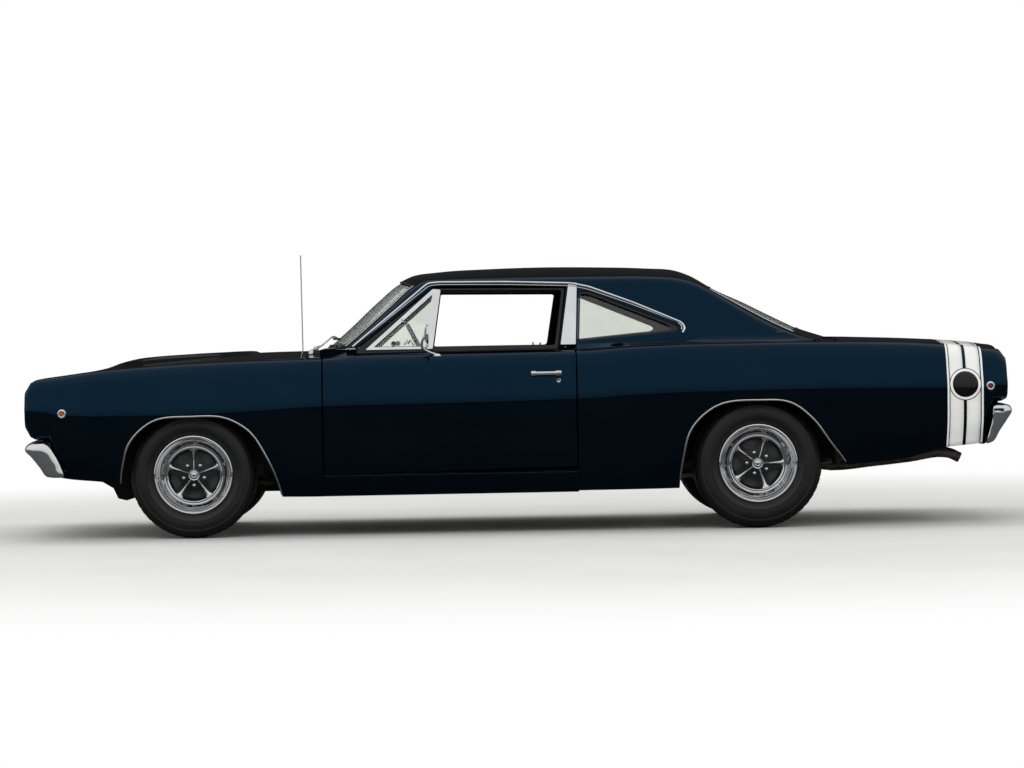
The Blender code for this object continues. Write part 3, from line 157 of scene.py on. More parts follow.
# Wheel openings from the axle, window openings and the gutter's line, all as x and z.
FRONT_ARCH = ((-0.385, 0.15), (-0.368, 0.37), (-0.322, 0.512), (-0.206, 0.616), (0.0, 0.64),
              (0.19, 0.626), (0.3, 0.56), (0.386, 0.43), (0.462, 0.235), (0.48, 0.15))
REAR_ARCH = ((-0.425, 0.15), (-0.402, 0.37), (-0.352, 0.535), (-0.225, 0.646), (0.0, 0.673),
             (0.17, 0.656), (0.29, 0.562), (0.37, 0.452), (0.47, 0.318), (0.52, 0.15))
DOOR_OPENING = ((-0.868, 0.976), (-0.442, 1.307), (0.262, 1.298), (0.217, 0.976))
QUARTER_OPENING = ((0.312, 1.0), (0.325, 1.268), (0.385, 1.263), (0.835, 1.078), (0.85, 1.055),
                   (0.82, 1.04))
GUTTER = ((-0.872, 0.992), (-0.473, 1.32), (-0.419, 1.325), (-0.068, 1.321), (0.284, 1.308),
          (0.378, 1.288), (0.606, 1.202), (0.767, 1.132), (0.862, 1.09), (0.881, 1.062), (0.866, 1.036))
# Lines along a bumper, downwards: height, x at its corner, y of its end, x where it stops.
FRONT_BUMPER = (
    (0.512, -2.545, 0.896, -2.484), (0.52, -2.558, 0.916, -2.476), (0.508, -2.584, 0.932, -2.466),
    (0.486, -2.596, 0.938, -2.456), (0.442, -2.562, 0.936, -2.43), (0.39, -2.522, 0.932, -2.406),
    (0.34, -2.486, 0.926, -2.389), (0.334, -2.462, 0.905, -2.389),
)
REAR_BUMPER = (
    (0.62, 2.54, 0.89, 2.49), (0.63, 2.558, 0.908, 2.488), (0.62, 2.582, 0.924, 2.486),
    (0.6, 2.59, 0.93, 2.484), (0.55, 2.565, 0.928, 2.48), (0.49, 2.524, 0.922, 2.464),
    (0.436, 2.489, 0.915, 2.449), (0.426, 2.466, 0.9, 2.447),
)
# The white tail bands: where they start, and each band's two edges from there.
STRIPE_X = 2.244
STRIPE_BANDS = ((0.0, 0.01), (0.0146, 0.0852), (0.102, 0.1748), (0.1808, 0.191))
STRIPE_LIFT = 0.0009


# Finishes.

def linear(code: str) -> tuple[float, float, float, float]:
    """Turns an sRGB hex colour into linear values.

    Args:
        code: Six hex digits.

    Returns:
        Red, green, blue and full alpha.
    """
    parts = (int(code[i:i + 2], 16) / 255 for i in (0, 2, 4))
    red, green, blue = (c / 12.92 if c <= 0.04045 else ((c + 0.055) / 1.055) ** 2.4 for c in parts)
    return red, green, blue, 1.0


def add_node(tree: bpy.types.NodeTree, kind: str, settings: Optional[dict] = None,
             links: Optional[dict] = None) -> bpy.types.Node:
    """Adds one shader node.

    Args:
        tree: The material's node tree.
        kind: The node's type name.
        settings: Node properties by name, and input values by socket name or number.
        links: Sockets to link from, by input name or number.

    Returns:
        The new node.
    """
    node = tree.nodes.new(kind)
    for key, value in (settings or {}).items():
        if isinstance(key, str) and hasattr(node, key):
            setattr(node, key, value)
        else:
            node.inputs[key].default_value = value
    for key, socket in (links or {}).items():
        tree.links.new(socket, node.inputs[key])
    return node


def add_maths(tree: bpy.types.NodeTree, operation: str, first: bpy.types.NodeSocket,
              second: bpy.types.NodeSocket) -> bpy.types.NodeSocket:
    """Adds a clamped maths node on two sockets that lie between 0 and 1, and returns its result."""
    return add_node(tree, "ShaderNodeMath", {"operation": operation, "use_clamp": True},
                    {0: first, 1: second}).outputs[0]


def add_fade(tree: bpy.types.NodeTree, value: bpy.types.NodeSocket, span: Point,
             result: Point = (0.0, 1.0)) -> bpy.types.NodeSocket:
    """Adds a smooth step of a value over a span, between two results, and returns its socket."""
    return add_node(tree, "ShaderNodeMapRange",
                    {"interpolation_type": "SMOOTHSTEP", "From Min": span[0], "From Max": span[1],
                     "To Min": result[0], "To Max": result[1]}, {"Value": value}).outputs["Result"]


# Values of the slow noise over which a finish runs from its shade to its colour, and from smooth to rough.
MOTTLE_SPAN, ROUGH_SPAN = (0.35, 0.65), (0.3, 0.7)
WAVE_SHARE = 6.3  # scale of the other grains over the scale of a wave, whose ribs stand two grains apart


class Grain(Enum):
    """How a surface is broken up."""

    CAST = "even noise, as on castings, rubber and sprayed coats"
    BRUSHED = "noise drawn out along the car, as on brushed or rolled metal"
    CELLS = "small cells, as on grained vinyl and carpet"
    RIBS = "straight ribs, as on pressed lenses and pleated vinyl"


@dataclass(frozen=True)
class Finish:
    """One real material, made as nodes on Object coordinates.

    colour and shade are the two colours that its slow mottle runs between.
    grain_mm is the size of its grain, relief_mm how deep that grain is, rough its two roughnesses.
    tint colours what it mirrors and clear is its share of clear glass; slot is not used.
    """

    name: str
    colour: str
    shade: str
    rough: tuple[float, float]
    grain: Grain = Grain.CAST
    grain_mm: float = 3.0
    relief_mm: float = 0.05
    mottle_mm: float = 120.0
    metallic: float = 0.0
    ior: float = 1.5
    level: float = 0.5
    clear: float = 0.0
    tint: str = "FFFFFF"
    slot: Optional[str] = None

    def make(self) -> bpy.types.Material:
        """Builds the material, or finds the one that is there."""
        ready = bpy.data.materials.get(self.name)
        if ready is not None:
            return ready
        material = bpy.data.materials.new(self.name)
        material.use_nodes = True
        tree = material.node_tree
        shader = tree.nodes["Principled BSDF"]
        place = add_node(tree, "ShaderNodeTexCoord").outputs["Object"]
        grain = self.grain_height(tree, place)
        slow = add_node(tree, "ShaderNodeTexNoise", {"Scale": 1000 / self.mottle_mm, "Detail": 3.0},
                        {"Vector": place}).outputs["Fac"]
        ramp = add_node(tree, "ShaderNodeValToRGB", links={"Fac": slow})
        for stop, position, code in zip(ramp.color_ramp.elements, MOTTLE_SPAN, (self.shade, self.colour)):
            stop.position, stop.color = position, linear(code)
        rough = add_node(tree, "ShaderNodeMapRange",
                         {"From Min": ROUGH_SPAN[0], "From Max": ROUGH_SPAN[1],
                          "To Min": self.rough[0], "To Max": self.rough[1]}, {"Value": slow})
        bump = add_node(tree, "ShaderNodeBump", {"Strength": 1.0, "Distance": self.relief_mm / 1000},
                        {"Height": grain})
        tree.links.new(ramp.outputs["Color"], shader.inputs["Base Color"])
        tree.links.new(rough.outputs["Result"], shader.inputs["Roughness"])
        tree.links.new(bump.outputs["Normal"], shader.inputs["Normal"])
        for key, value in (("Metallic", self.metallic), ("IOR", self.ior), ("Specular IOR Level", self.level),
                           ("Specular Tint", linear(self.tint)), ("Transmission Weight", self.clear)):
            shader.inputs[key].default_value = value
        return material

    def grain_height(self, tree: bpy.types.NodeTree, place: bpy.types.NodeSocket) -> bpy.types.NodeSocket:
        """Adds the pattern of the finish's grain and returns its height socket."""
        scale = 1000 / self.grain_mm
        if self.grain is Grain.CELLS:
            return add_node(tree, "ShaderNodeTexVoronoi", {"Scale": scale, "feature": "SMOOTH_F1"},
                            {"Vector": place}).outputs["Distance"]
        if self.grain is Grain.RIBS:
            return add_node(tree, "ShaderNodeTexWave", {"Scale": scale / WAVE_SHARE, "bands_direction": "Y"},
                            {"Vector": place}).outputs["Fac"]
        if self.grain is Grain.BRUSHED:
            place = add_node(tree, "ShaderNodeMapping", {"Scale": (0.04, 1.0, 1.0)},
                             {"Vector": place}).outputs["Vector"]
        return add_node(tree, "ShaderNodeTexNoise", {"Scale": scale, "Detail": 4.0},
                        {"Vector": place}).outputs["Fac"]


# Gloss black acrylic enamel over steel: deep black with a faint orange peel that only bends reflections,
# which are tinted as the blue sky tints them outdoors.
ENAMEL = Finish("black_enamel", "040709", "030406", (0.025, 0.05), grain_mm=9.0, relief_mm=0.012,
                mottle_mm=400, level=0.36, tint="60BCFF", slot="black_paint")
# White acrylic stripe paint: a softer gloss, very slightly warm.
STRIPE_WHITE = Finish("white_stripe_enamel", "ECECEA", "E4E4E1", (0.16, 0.24), grain_mm=9.0,
                      relief_mm=0.01)
# Black paint of the roundel's field and outline, of the same softer gloss.
STRIPE_BLACK = Finish("black_stripe_enamel", "0A0A0B", "060607", (0.12, 0.2), grain_mm=9.0, relief_mm=0.01,
                      level=0.3)
# Bumper and trim chrome: plated steel, mirror bright with slight clouding.
CHROME = Finish("chrome_plate", "D8DADC", "CFD1D3", (0.03, 0.08), grain_mm=14, relief_mm=0.015,
                metallic=1.0, slot="chrome")
# Polished stainless trim: brushed a little along its length.
STAINLESS = Finish("stainless_trim", "C9CACB", "BDBEBF", (0.12, 0.2), Grain.BRUSHED, 1.2, 0.006,
                   metallic=1.0, slot="chrome")
# Tyre side wall: satin black rubber, a little mottled.
TYRE = Finish("tyre_rubber_side", "151516", "0F0F0F", (0.34, 0.46), grain_mm=1.6, relief_mm=0.08,
              mottle_mm=90, level=0.4, slot="tyre_rubber")
# Weather strip: soft matt rubber.
SEAL = Finish("rubber_seal", "101011", "0B0B0C", (0.55, 0.7), grain_mm=2.0, level=0.3)
# Cast charcoal paint between the spokes: a fine metallic grey black.
CHARCOAL = Finish("charcoal_wheel_paint", "17181A", "0E0F10", (0.35, 0.5), grain_mm=1.5, relief_mm=0.06,
                  metallic=0.2)
# Sprayed undercoat: matt black with a thick pebbled film.
UNDERCOAT = Finish("undercoat", "151413", "0C0C0B", (0.75, 0.9), grain_mm=6.0, relief_mm=0.6,
                   mottle_mm=70, level=0.3, slot="underbody_black")
# Semi-gloss black of inner panels and frames.
SATIN_BLACK = Finish("satin_black_paint", "0D0D0E", "080808", (0.35, 0.5), grain_mm=4.0, level=0.35)
# Cast iron: rough sand-cast skin with a trace of brown.
IRON = Finish("cast_iron", "3A3735", "26211E", (0.6, 0.8), relief_mm=0.35, mottle_mm=50, metallic=0.6,
              slot="cast_iron")
# Aluminised steel pipe: dull grey, streaked along the pipe.
PIPE = Finish("aluminised_pipe", "75716C", "4E4A46", (0.4, 0.6), Grain.BRUSHED, 4.0, 0.08, 60,
              metallic=0.9, slot="steel_pipe")
# Terne-coated fuel tank: flat grey sheet with spangle.
TANK = Finish("terne_sheet", "6A6A69", "4B4B4A", (0.45, 0.6), Grain.CELLS, 14, 0.05, 60, metallic=0.7,
              slot="steel_pipe")
# Grained black vinyl: leather-like cells a couple of millimetres wide.
VINYL = Finish("grained_vinyl", "18181A", "101011", (0.42, 0.55), Grain.CELLS, 2.6, 0.22, 160, level=0.4,
               slot="vinyl")
# Loop-pile carpet.
CARPET = Finish("loop_carpet", "121213", "09090A", (0.9, 1.0), Grain.CELLS, 3.5, 1.6, 80, level=0.15)
# Perforated dark headliner cloth stretched over bows.
HEADLINER = Finish("headliner_cloth", "1E1E1F", "161617", (0.8, 0.95), Grain.CELLS, 3.0, 0.4, 200,
                   level=0.2)
# Safety glass with a faint green tint, and the same clearer for side panes.
GLASS = Finish("tinted_glass", "E2E9E3", "DFE6E0", (0.0, 0.004), grain_mm=400, relief_mm=0.0, ior=1.45,
               clear=1.0, slot="glass")
SIDE_GLASS = Finish("side_glass", "E9ECE6", "E6E9E3", (0.0, 0.004), grain_mm=400, relief_mm=0.0, ior=1.45,
                    clear=1.0, slot="glass")
# Headlamp lens: clear glass pressed with vertical flutes.
LENS = Finish("fluted_lens", "F2F4F5", "E9ECEE", (0.02, 0.06), Grain.RIBS, 9.0, 0.8, ior=1.45, clear=0.9,
              slot="lamp_clear")
# Moulded acrylic lamp lenses, fluted, in red and in amber.
RED_LENS = Finish("red_acrylic", "8E0A0C", "6E0608", (0.08, 0.14), Grain.RIBS, 8.0, 0.9, ior=1.49,
                  clear=0.25, slot="lamp_red")
AMBER_LENS = Finish("amber_acrylic", "C8700E", "A8590A", (0.1, 0.16), Grain.RIBS, 4.0, 0.3, ior=1.49,
                    clear=0.2)
# Gauge faces: matt, pale printed card.
DIAL = Finish("dial_face", "E2E0D8", "D8D6CE", (0.5, 0.6), grain_mm=2.0, relief_mm=0.01)


# Modelling by operators.

def deselect() -> None:
    """Leaves edit mode and selects nothing."""
    if bpy.context.object is not None and bpy.context.object.mode != "OBJECT":
        bpy.ops.object.mode_set(mode="OBJECT")
    bpy.ops.object.select_all(action="DESELECT")


def pick(obj: Object, *others: Object) -> Object:
    """Selects these objects alone and makes the first one active."""
    deselect()
    for one in (obj, *others):
        one.select_set(True)
    bpy.context.view_layer.objects.active = obj
    return obj


def named(name: str) -> Object:
    """Names the object that an operator has just made, and its mesh."""
    obj = bpy.context.object
    obj.name = obj.data.name = name
    return obj


def edit(obj: Object, *steps: Callable[[], object], everything: bool = True) -> Object:
    """Runs edit mode operators on an object.

    Args:
        obj: The mesh object.
        steps: Calls to make in edit mode, in order.
        everything: Whether all of it is selected first.

    Returns:
        The same object.
    """
    pick(obj)
    bpy.ops.object.mode_set(mode="EDIT")
    if everything:
        bpy.ops.mesh.select_all(action="SELECT")
    for step in steps:
        step()
    bpy.ops.object.mode_set(mode="OBJECT")
    return obj


def modify(obj: Object, kind: str, **settings: object) -> Object:
    """Adds a modifier with these settings and applies it."""
    pick(obj)
    modifier = obj.modifiers.new(kind.lower(), kind)
    for key, value in settings.items():
        setattr(modifier, key, value)
    bpy.ops.object.modifier_apply(modifier=modifier.name)
    return obj


def delete_selected(obj: Object, kind: str) -> Object:
    """Deletes the faces or edges of a mesh that are flagged as selected.

    Args:
        obj: The mesh object.
        kind: FACE or EDGE.

    Returns:
        The same object.
    """
    pick(obj)
    modes = bpy.context.scene.tool_settings
    modes.mesh_select_mode = (False, kind == "EDGE", kind == "FACE")
    edit(obj, lambda: bpy.ops.mesh.delete(type=kind), everything=False)
    modes.mesh_select_mode = (True, False, False)
    return obj


def weld() -> None:
    """Merges selected points that lie together."""
    bpy.ops.mesh.remove_doubles(threshold=1e-5)


def outward(obj: Object) -> Object:
    """Turns the faces of a closed mesh outwards."""
    return edit(obj, weld, lambda: bpy.ops.mesh.normals_make_consistent(inside=False))


def smooth(obj: Object, angle: float = SMOOTH_ANGLE) -> Object:
    """Shades smooth where faces meet at less than an angle."""
    pick(obj)
    bpy.ops.object.shade_smooth_by_angle(angle=angle)
    return obj


def spread(first: float, last: float, count: int) -> list[float]:
    """Evenly spaced values from the first to the last, in a number of steps."""
    return [first + (last - first) * n / count for n in range(count + 1)]


def circle(x: float, y: float, radius: float, count: int, height: float = 1.0) -> list[tuple[float, float]]:
    """Points round a circle, or round an ellipse whose height is this share of its width."""
    turns = [math.tau * n / count for n in range(count)]
    return [(x + radius * math.cos(turn), y + height * radius * math.sin(turn)) for turn in turns]


def bend(start: Vector, corner: Vector, end: Vector, t: float) -> Vector:
    """A point of the curve that leaves its start towards a corner and ends coming from it."""
    return start * (1 - t) ** 2 + corner * 2 * t * (1 - t) + end * t * t


def hermite(start: Value, leaving: Value, end: Value, arriving: Value, t: float) -> Value:
    """A point of the cubic between two points, with its slopes there per whole step."""
    return (start * (2 * t**3 - 3 * t**2 + 1) + leaving * (t**3 - 2 * t**2 + t)
            + end * (3 * t**2 - 2 * t**3) + arriving * (t**3 - t**2))


def spline(points: Sequence[Point], per: int) -> list[Vector]:
    """Points along a smooth curve through given points.

    Args:
        points: The points to pass through.
        per: Steps between each two of them.

    Returns:
        The points of the curve, both ends included.
    """
    knots = [Vector(p) for p in points]
    steps = [(b - a).length for a, b in zip(knots, knots[1:])]
    slopes = []
    for i, knot in enumerate(knots):
        if i == 0:
            slopes.append((knots[1] - knot) / steps[0])
        elif i == len(knots) - 1:
            slopes.append((knot - knots[i - 1]) / steps[-1])
        else:
            before = (knot - knots[i - 1]) / steps[i - 1]
            after = (knots[i + 1] - knot) / steps[i]
            slopes.append((before * steps[i] + after * steps[i - 1]) / (steps[i - 1] + steps[i]))
    made = [hermite(knots[i], slopes[i] * steps[i], knots[i + 1], slopes[i + 1] * steps[i], n / per)
            for i in range(len(steps)) for n in range(per)]
    return [*made, knots[-1]]


def patch(name: str, rows: Sequence[Sequence[Point]], facing: Optional[Point] = None,
          ring: bool = False, keep: Optional[Callable[[int, int], bool]] = None) -> Object:
    """A grid primitive whose vertices are laid on a formula surface.

    Args:
        name: The object's name.
        rows: Rows of equally many points.
        facing: The way its faces should look, for an open surface.
        ring: Whether each row closes on itself and the two end rows get caps.
        keep: Says whether the cell after a row and a column stays.

    Returns:
        The new object.
    """
    if ring:
        rows = [[*row, row[0]] for row in rows]
    across, along = len(rows) - 1, len(rows[0]) - 1
    deselect()
    bpy.ops.mesh.primitive_grid_add(x_subdivisions=across, y_subdivisions=along, size=2)
    obj = named(name)
    mesh = obj.data
    where = [(round((v.co.x + 1) / 2 * across), round((v.co.y + 1) / 2 * along)) for v in mesh.vertices]
    cells = [(min(where[v][0] for v in face.vertices), min(where[v][1] for v in face.vertices))
             for face in mesh.polygons]
    for vertex, (i, j) in zip(mesh.vertices, where):
        vertex.co = rows[i][j]
    if keep is not None:
        for face, (i, j) in zip(mesh.polygons, cells):
            face.select = not keep(i, j)
        delete_selected(obj, "FACE")
        mesh = obj.data
    mesh.update()
    if ring:
        edit(obj, weld, lambda: bpy.ops.mesh.select_all(action="DESELECT"),
             lambda: bpy.ops.mesh.select_non_manifold(), lambda: bpy.ops.mesh.fill_holes(sides=0))
        outward(obj)
    elif facing is not None:
        way = Vector(facing)
        if sum(face.normal.dot(way) * face.area for face in mesh.polygons) < 0:
            edit(obj, lambda: bpy.ops.mesh.flip_normals())
    return smooth(obj)


def sheet(name: str, rows: Sequence[Sequence[Point]], facing: Point, thickness: float,
          keep: Optional[Callable[[int, int], bool]] = None) -> Object:
    """A patch made solid behind its faces.

    Args:
        name: The object's name.
        rows: Rows of equally many points.
        facing: The way its faces look.
        thickness: How far it reaches behind them.
        keep: Says whether the cell after a row and a column stays.

    Returns:
        The new object.
    """
    return modify(patch(name, rows, facing, keep=keep), "SOLIDIFY", thickness=thickness, offset=-1.0)


def solid_box(name: str, low: Point, high: Point, bevel: float = 0.003, segments: int = 2) -> Object:
    """A cube primitive stretched between two corners, with rounded edges."""
    deselect()
    bpy.ops.mesh.primitive_cube_add(size=1)
    obj = named(name)
    for vertex in obj.data.vertices:
        vertex.co = [(a + b) / 2 + share * (b - a) for a, b, share in zip(low, high, vertex.co)]
    if bevel:
        modify(obj, "BEVEL", width=bevel, segments=segments, limit_method="ANGLE")
    return smooth(obj)


def side_box(name: str, side: int, low: Point, high: Point, bevel: float, segments: int = 3) -> Object:
    """A rounded box on one side of the car, with its two y values counted outwards."""
    near, far = sorted((side * low[1], side * high[1]))
    return solid_box(name, (low[0], near, low[2]), (high[0], far, high[2]), bevel, segments)


def join(name: str, *objs: Object) -> Object:
    """Joins pieces of one finish into one object."""
    pick(*objs)
    if len(objs) > 1:
        bpy.ops.object.join()
    objs[0].name = objs[0].data.name = name
    return objs[0]


def cut(obj: Object, *cutters: Object) -> Object:
    """Cuts shapes out of an object and removes them."""
    for cutter in cutters:
        modify(obj, "BOOLEAN", operation="DIFFERENCE", solver="EXACT", object=cutter)
        bpy.data.objects.remove(cutter, do_unlink=True)
    return obj


def mirrored(obj: Object, name: str) -> Object:
    """A copy with its own mesh on the other side of the car."""
    pick(obj)
    bpy.ops.object.duplicate()
    copy = named(name)
    for vertex in copy.data.vertices:
        vertex.co.y = -vertex.co.y
    return edit(copy, lambda: bpy.ops.mesh.flip_normals())


def curve_mesh(name: str, lines: Sequence[Sequence[Point]], closed: bool, **settings: object) -> Object:
    """A curve of straight steps made a mesh.

    Args:
        name: The object's name.
        lines: The points of each of its lines.
        closed: Whether each line closes on itself.
        settings: The curve's properties, which fill it or give it a section.

    Returns:
        The mesh object.
    """
    curve = bpy.data.curves.new(name, "CURVE")
    for key, value in settings.items():
        setattr(curve, key, value)
    for points in lines:
        line = curve.splines.new("POLY")
        line.points.add(len(points) - 1)
        for knot, point in zip(line.points, points):
            knot.co = (*Vector(point).to_3d(), 1)
        line.use_cyclic_u = closed
    obj = bpy.data.objects.new(name, curve)
    bpy.context.scene.collection.objects.link(obj)
    pick(obj)
    bpy.ops.object.convert(target="MESH")
    obj.data.name = name
    return obj


def plate(name: str, outlines: Sequence[Outline], thickness: float, place: Matrix,
          bevel: float = 0.0, segments: int = 2) -> Object:
    """A flat filled curve made a mesh: closed outlines, the inner ones holes.

    Args:
        name: The object's name.
        outlines: Closed lines in the plate's own plane.
        thickness: Its thickness, half of it each way.
        place: Where the plate's plane lies.
        bevel: Width of its rounded edges.
        segments: Steps of that rounding.

    Returns:
        The plate as a mesh in the row frame.
    """
    obj = curve_mesh(name, outlines, True, dimensions="2D", fill_mode="BOTH", extrude=thickness / 2)
    obj.data.transform(place)
    outward(obj)
    if bevel:
        modify(obj, "BEVEL", width=bevel, segments=segments, limit_method="ANGLE",
               angle_limit=PLATE_EDGE_ANGLE)
    return smooth(obj)


def bar(name: str, points: Sequence[Point], radius: float, resolution: int = 3,
        closed: bool = False) -> Object:
    """A round bar along a line, such as a pipe, a moulding or a stalk.

    Args:
        name: The object's name.
        points: The line that it follows.
        radius: Half its width.
        resolution: Steps of its round section.
        closed: Whether the line closes on itself.

    Returns:
        The bar as a mesh in the row frame.
    """
    obj = curve_mesh(name, [points], closed, dimensions="3D", bevel_depth=radius,
                     bevel_resolution=resolution, use_fill_caps=True)
    return smooth(outward(obj), BAR_SMOOTH_ANGLE)


def turned(name: str, profile: Sequence[Point], centre: Point, axis: Point, steps: int,
           closed: bool = False) -> Object:
    """A circle primitive laid out as a profile and spun about an axis.

    Args:
        name: The object's name.
        profile: Points in millimetres, as (distance from the axis, distance along it).
        centre: A point on the axis.
        axis: The axis's direction.
        steps: Steps of the full turn.
        closed: Whether the profile closes on itself.

    Returns:
        The turned shape.
    """
    centre, axis = Vector(centre), Vector(axis).normalized()
    out = axis.orthogonal().normalized()
    deselect()
    bpy.ops.mesh.primitive_circle_add(vertices=len(profile), radius=1.0)
    obj = named(name)
    order = ring_order(obj.data)
    for index, (r, along) in zip(order, profile):
        obj.data.vertices[index].co = centre + out * (r / 1000) + axis * (along / 1000)
    if not closed:
        for line in obj.data.edges:
            line.select = set(line.vertices) == {order[0], order[-1]}
        delete_selected(obj, "EDGE")
    edit(obj, lambda: bpy.ops.mesh.spin(steps=steps, angle=math.tau, center=centre, axis=axis))
    return smooth(outward(obj))


def ring_order(mesh: bpy.types.Mesh) -> list[int]:
    """The vertices of a ring of edges, in order round it."""
    near: dict[int, list[int]] = {}
    for line in mesh.edges:
        a, b = line.vertices
        near.setdefault(a, []).append(b)
        near.setdefault(b, []).append(a)
    order = [0]
    while len(order) < len(mesh.vertices):
        here = order[-1]
        before = order[-2] if len(order) > 1 else None
        order.append(next(v for v in near[here] if v != before))
    return order


def dress(obj: Object, finish: Finish, body: str = "body", replaces: Iterable[str] = ()) -> Object:
    """Gives a piece its finish and its CAD body, and hides the CAD nodes that it stands for."""
    obj.data.materials.clear()
    obj.data.materials.append(finish.make())
    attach(obj, body)
    if replaces:
        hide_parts(*replaces)
    LOG.info("%s: %s, %d faces", obj.name, finish.name, len(obj.data.polygons))
    return obj


def white_bands(name: str, line_at: Callable[[float], list[Point]], facing: Point,
                body: str = "body") -> None:
    """Lays the white tail bands on a surface.

    Args:
        name: The piece's name.
        line_at: Gives the surface's line across the bands at a place along the car.
        facing: The way the surface looks.
        body: The body that they ride on.
    """
    bands = [sheet("band", [line_at(x) for x in spread(STRIPE_X + first, STRIPE_X + last, 3)], facing, 0.0006)
             for first, last in STRIPE_BANDS]
    dress(join(name, *bands), STRIPE_WHITE, body)


# The body's surfaces.

def between(rows: Sequence[Sequence[float]], value: float, column: int) -> float:
    """Reads a column of a table at any x, on a curve through its rows that never overshoots."""
    xs = [row[0] for row in rows]
    ys = [row[column] for row in rows]
    if value <= xs[0]:
        return ys[0]
    if value >= xs[-1]:
        return ys[-1]
    i = next(n for n in range(len(xs) - 1) if xs[n] <= value <= xs[n + 1])

    def slope(n: int) -> float:
        """The curve's slope at a row."""
        if n in (0, len(xs) - 1):
            return 0.0
        left = (ys[n] - ys[n - 1]) / (xs[n] - xs[n - 1])
        right = (ys[n + 1] - ys[n]) / (xs[n + 1] - xs[n])
        return 0.0 if left * right <= 0 else 2 * left * right / (left + right)

    span = xs[i + 1] - xs[i]
    return hermite(ys[i], slope(i) * span, ys[i + 1], slope(i + 1) * span, (value - xs[i]) / span)


@functools.lru_cache(maxsize=None)
def station(x: float) -> dict[str, float]:
    """Every column of the body side table at one place along the car."""
    return {name: between(SIDE, x, n) for n, name in enumerate(SIDE_COLUMNS)}


def knots_at(x: float) -> list[tuple[float, float]]:
    """The points that the body side's section runs through at a station, as (y, z), upwards."""
    s = station(x)
    rise = s["crease_z"] - s["low_z"]
    above = s["crest_z"] - s["crease_z"]
    flare = s["crease_y"] - s["low_y"]
    lean = s["crease_y"] - s["crest_y"]
    return [
        (s["low_y"], s["low_z"]),
        (s["low_y"] + BELLY[0] * flare, s["low_z"] + BELLY[1] * rise),
        (s["crease_y"] - UNDER_CREASE[0], s["crease_z"] - UNDER_CREASE[1] * rise),
        (s["crease_y"], s["crease_z"]),
        (s["crease_y"] - OVER_CREASE[0] * lean, s["crease_z"] + OVER_CREASE[1] * above),
        (s["crest_y"] + UNDER_CREST[0] * lean, s["crest_z"] - UNDER_CREST[1] * above),
        (s["crest_y"], s["crest_z"]),
        (s["lip_y"], s["lip_z"]),
    ]


@functools.lru_cache(maxsize=None)
def section(x: float, bottom_z: Optional[float] = None) -> tuple[Vector, ...]:
    """The body side's smooth section at a station.

    Args:
        x: The station.
        bottom_z: Where the section starts, or None for the body's own bottom edge.

    Returns:
        Points as (y, z), from the bottom edge to the lip.
    """
    knots = knots_at(x)
    if bottom_z is not None:
        (y0, z0), (y1, z1) = knots[0], knots[1]
        knots[0] = (y0 + (bottom_z - z0) / (z1 - z0) * (y1 - y0), bottom_z)
    widest = station(x)["crease_y"]
    return tuple(Vector((min(p.x, widest), p.y)) for p in spline(knots, 5))


def lifted(points: Sequence[Vector], lift: float) -> list[Vector]:
    """Points of a section moved square to it, outwards for a positive lift."""
    moved = []
    for n, point in enumerate(points):
        along = points[min(n + 1, len(points) - 1)] - points[max(n - 1, 0)]
        moved.append(point + Vector((along.y, -along.x)).normalized() * lift)
    return moved


def skin_y(x: float, z: float) -> float:
    """How far out the body side stands at a place, below the crest."""
    points = section(round(x, 4))
    for a, b in zip(points, points[1:]):
        if a.y <= z <= b.y:
            return a.x + (b.x - a.x) * (z - a.y) / (b.y - a.y)
    return points[0].x if z < points[0].y else points[-6].x


def edged(start: float, end: float, step: float = 0.025, radius: float = 0.004) -> list[tuple[float, float]]:
    """Places along a panel with the dip of its rounded ends.

    Args:
        start: Where the panel starts.
        end: Where it ends.
        step: Distance between places.
        radius: Radius of its rounded edges.

    Returns:
        Pairs of (x, depth below the surface).
    """
    count = max(2, round((end - start - 2 * radius) / step))
    curve = [radius * share for share in (0.0, 0.12, 0.35, 0.65)]
    places = [start + d for d in curve]
    places += [start + radius + (end - start - 2 * radius) * n / count for n in range(count + 1)]
    places += [end - d for d in reversed(curve)]
    made = []
    for x in places:
        d = min(x - start, end - x, radius)
        made.append((round(x, 5), radius - math.sqrt(max(0.0, radius**2 - (radius - d) ** 2))))
    return made


def waist_y(z: float) -> float:
    """How far out the plane of the side windows stands at a height: it leans in towards the roof."""
    return WAIST_Y - (z - WAIST_Z) * (WAIST_Y - RAIL_Y) / (RAIL_Z - WAIST_Z)


def window_plate(name: str, side: int, outlines: Sequence[Outline], sunk: float, thickness: float,
                 bevel: float = 0.0, segments: int = 2) -> Object:
    """A plate that leans in with the side windows.

    Args:
        name: The object's name.
        side: -1 for the left side, 1 for the right.
        outlines: Closed lines in x and z, the inner ones holes.
        sunk: How far its outer face lies inside the windows' plane.
        thickness: Its thickness.
        bevel: Width of its rounded edges.
        segments: Steps of that rounding.

    Returns:
        The plate as a mesh in the row frame.
    """
    lean = math.atan((WAIST_Y - RAIL_Y) / (RAIL_Z - WAIST_Z))
    up = Vector((0, -side * math.sin(lean), math.cos(lean)))
    out = Vector((0, side * math.cos(lean), math.sin(lean)))
    foot = Vector((0, side * WAIST_Y, WAIST_Z)) - out * (sunk + thickness / 2)
    place = Matrix(((1, 0, 0, 0), (0, up.y, out.y, foot.y), (0, up.z, out.z, foot.z), (0, 0, 0, 1)))
    drawn = [[(x, (z - WAIST_Z) / math.cos(lean)) for x, z in outline] for outline in outlines]
    return plate(name, drawn, thickness, place, bevel, segments)


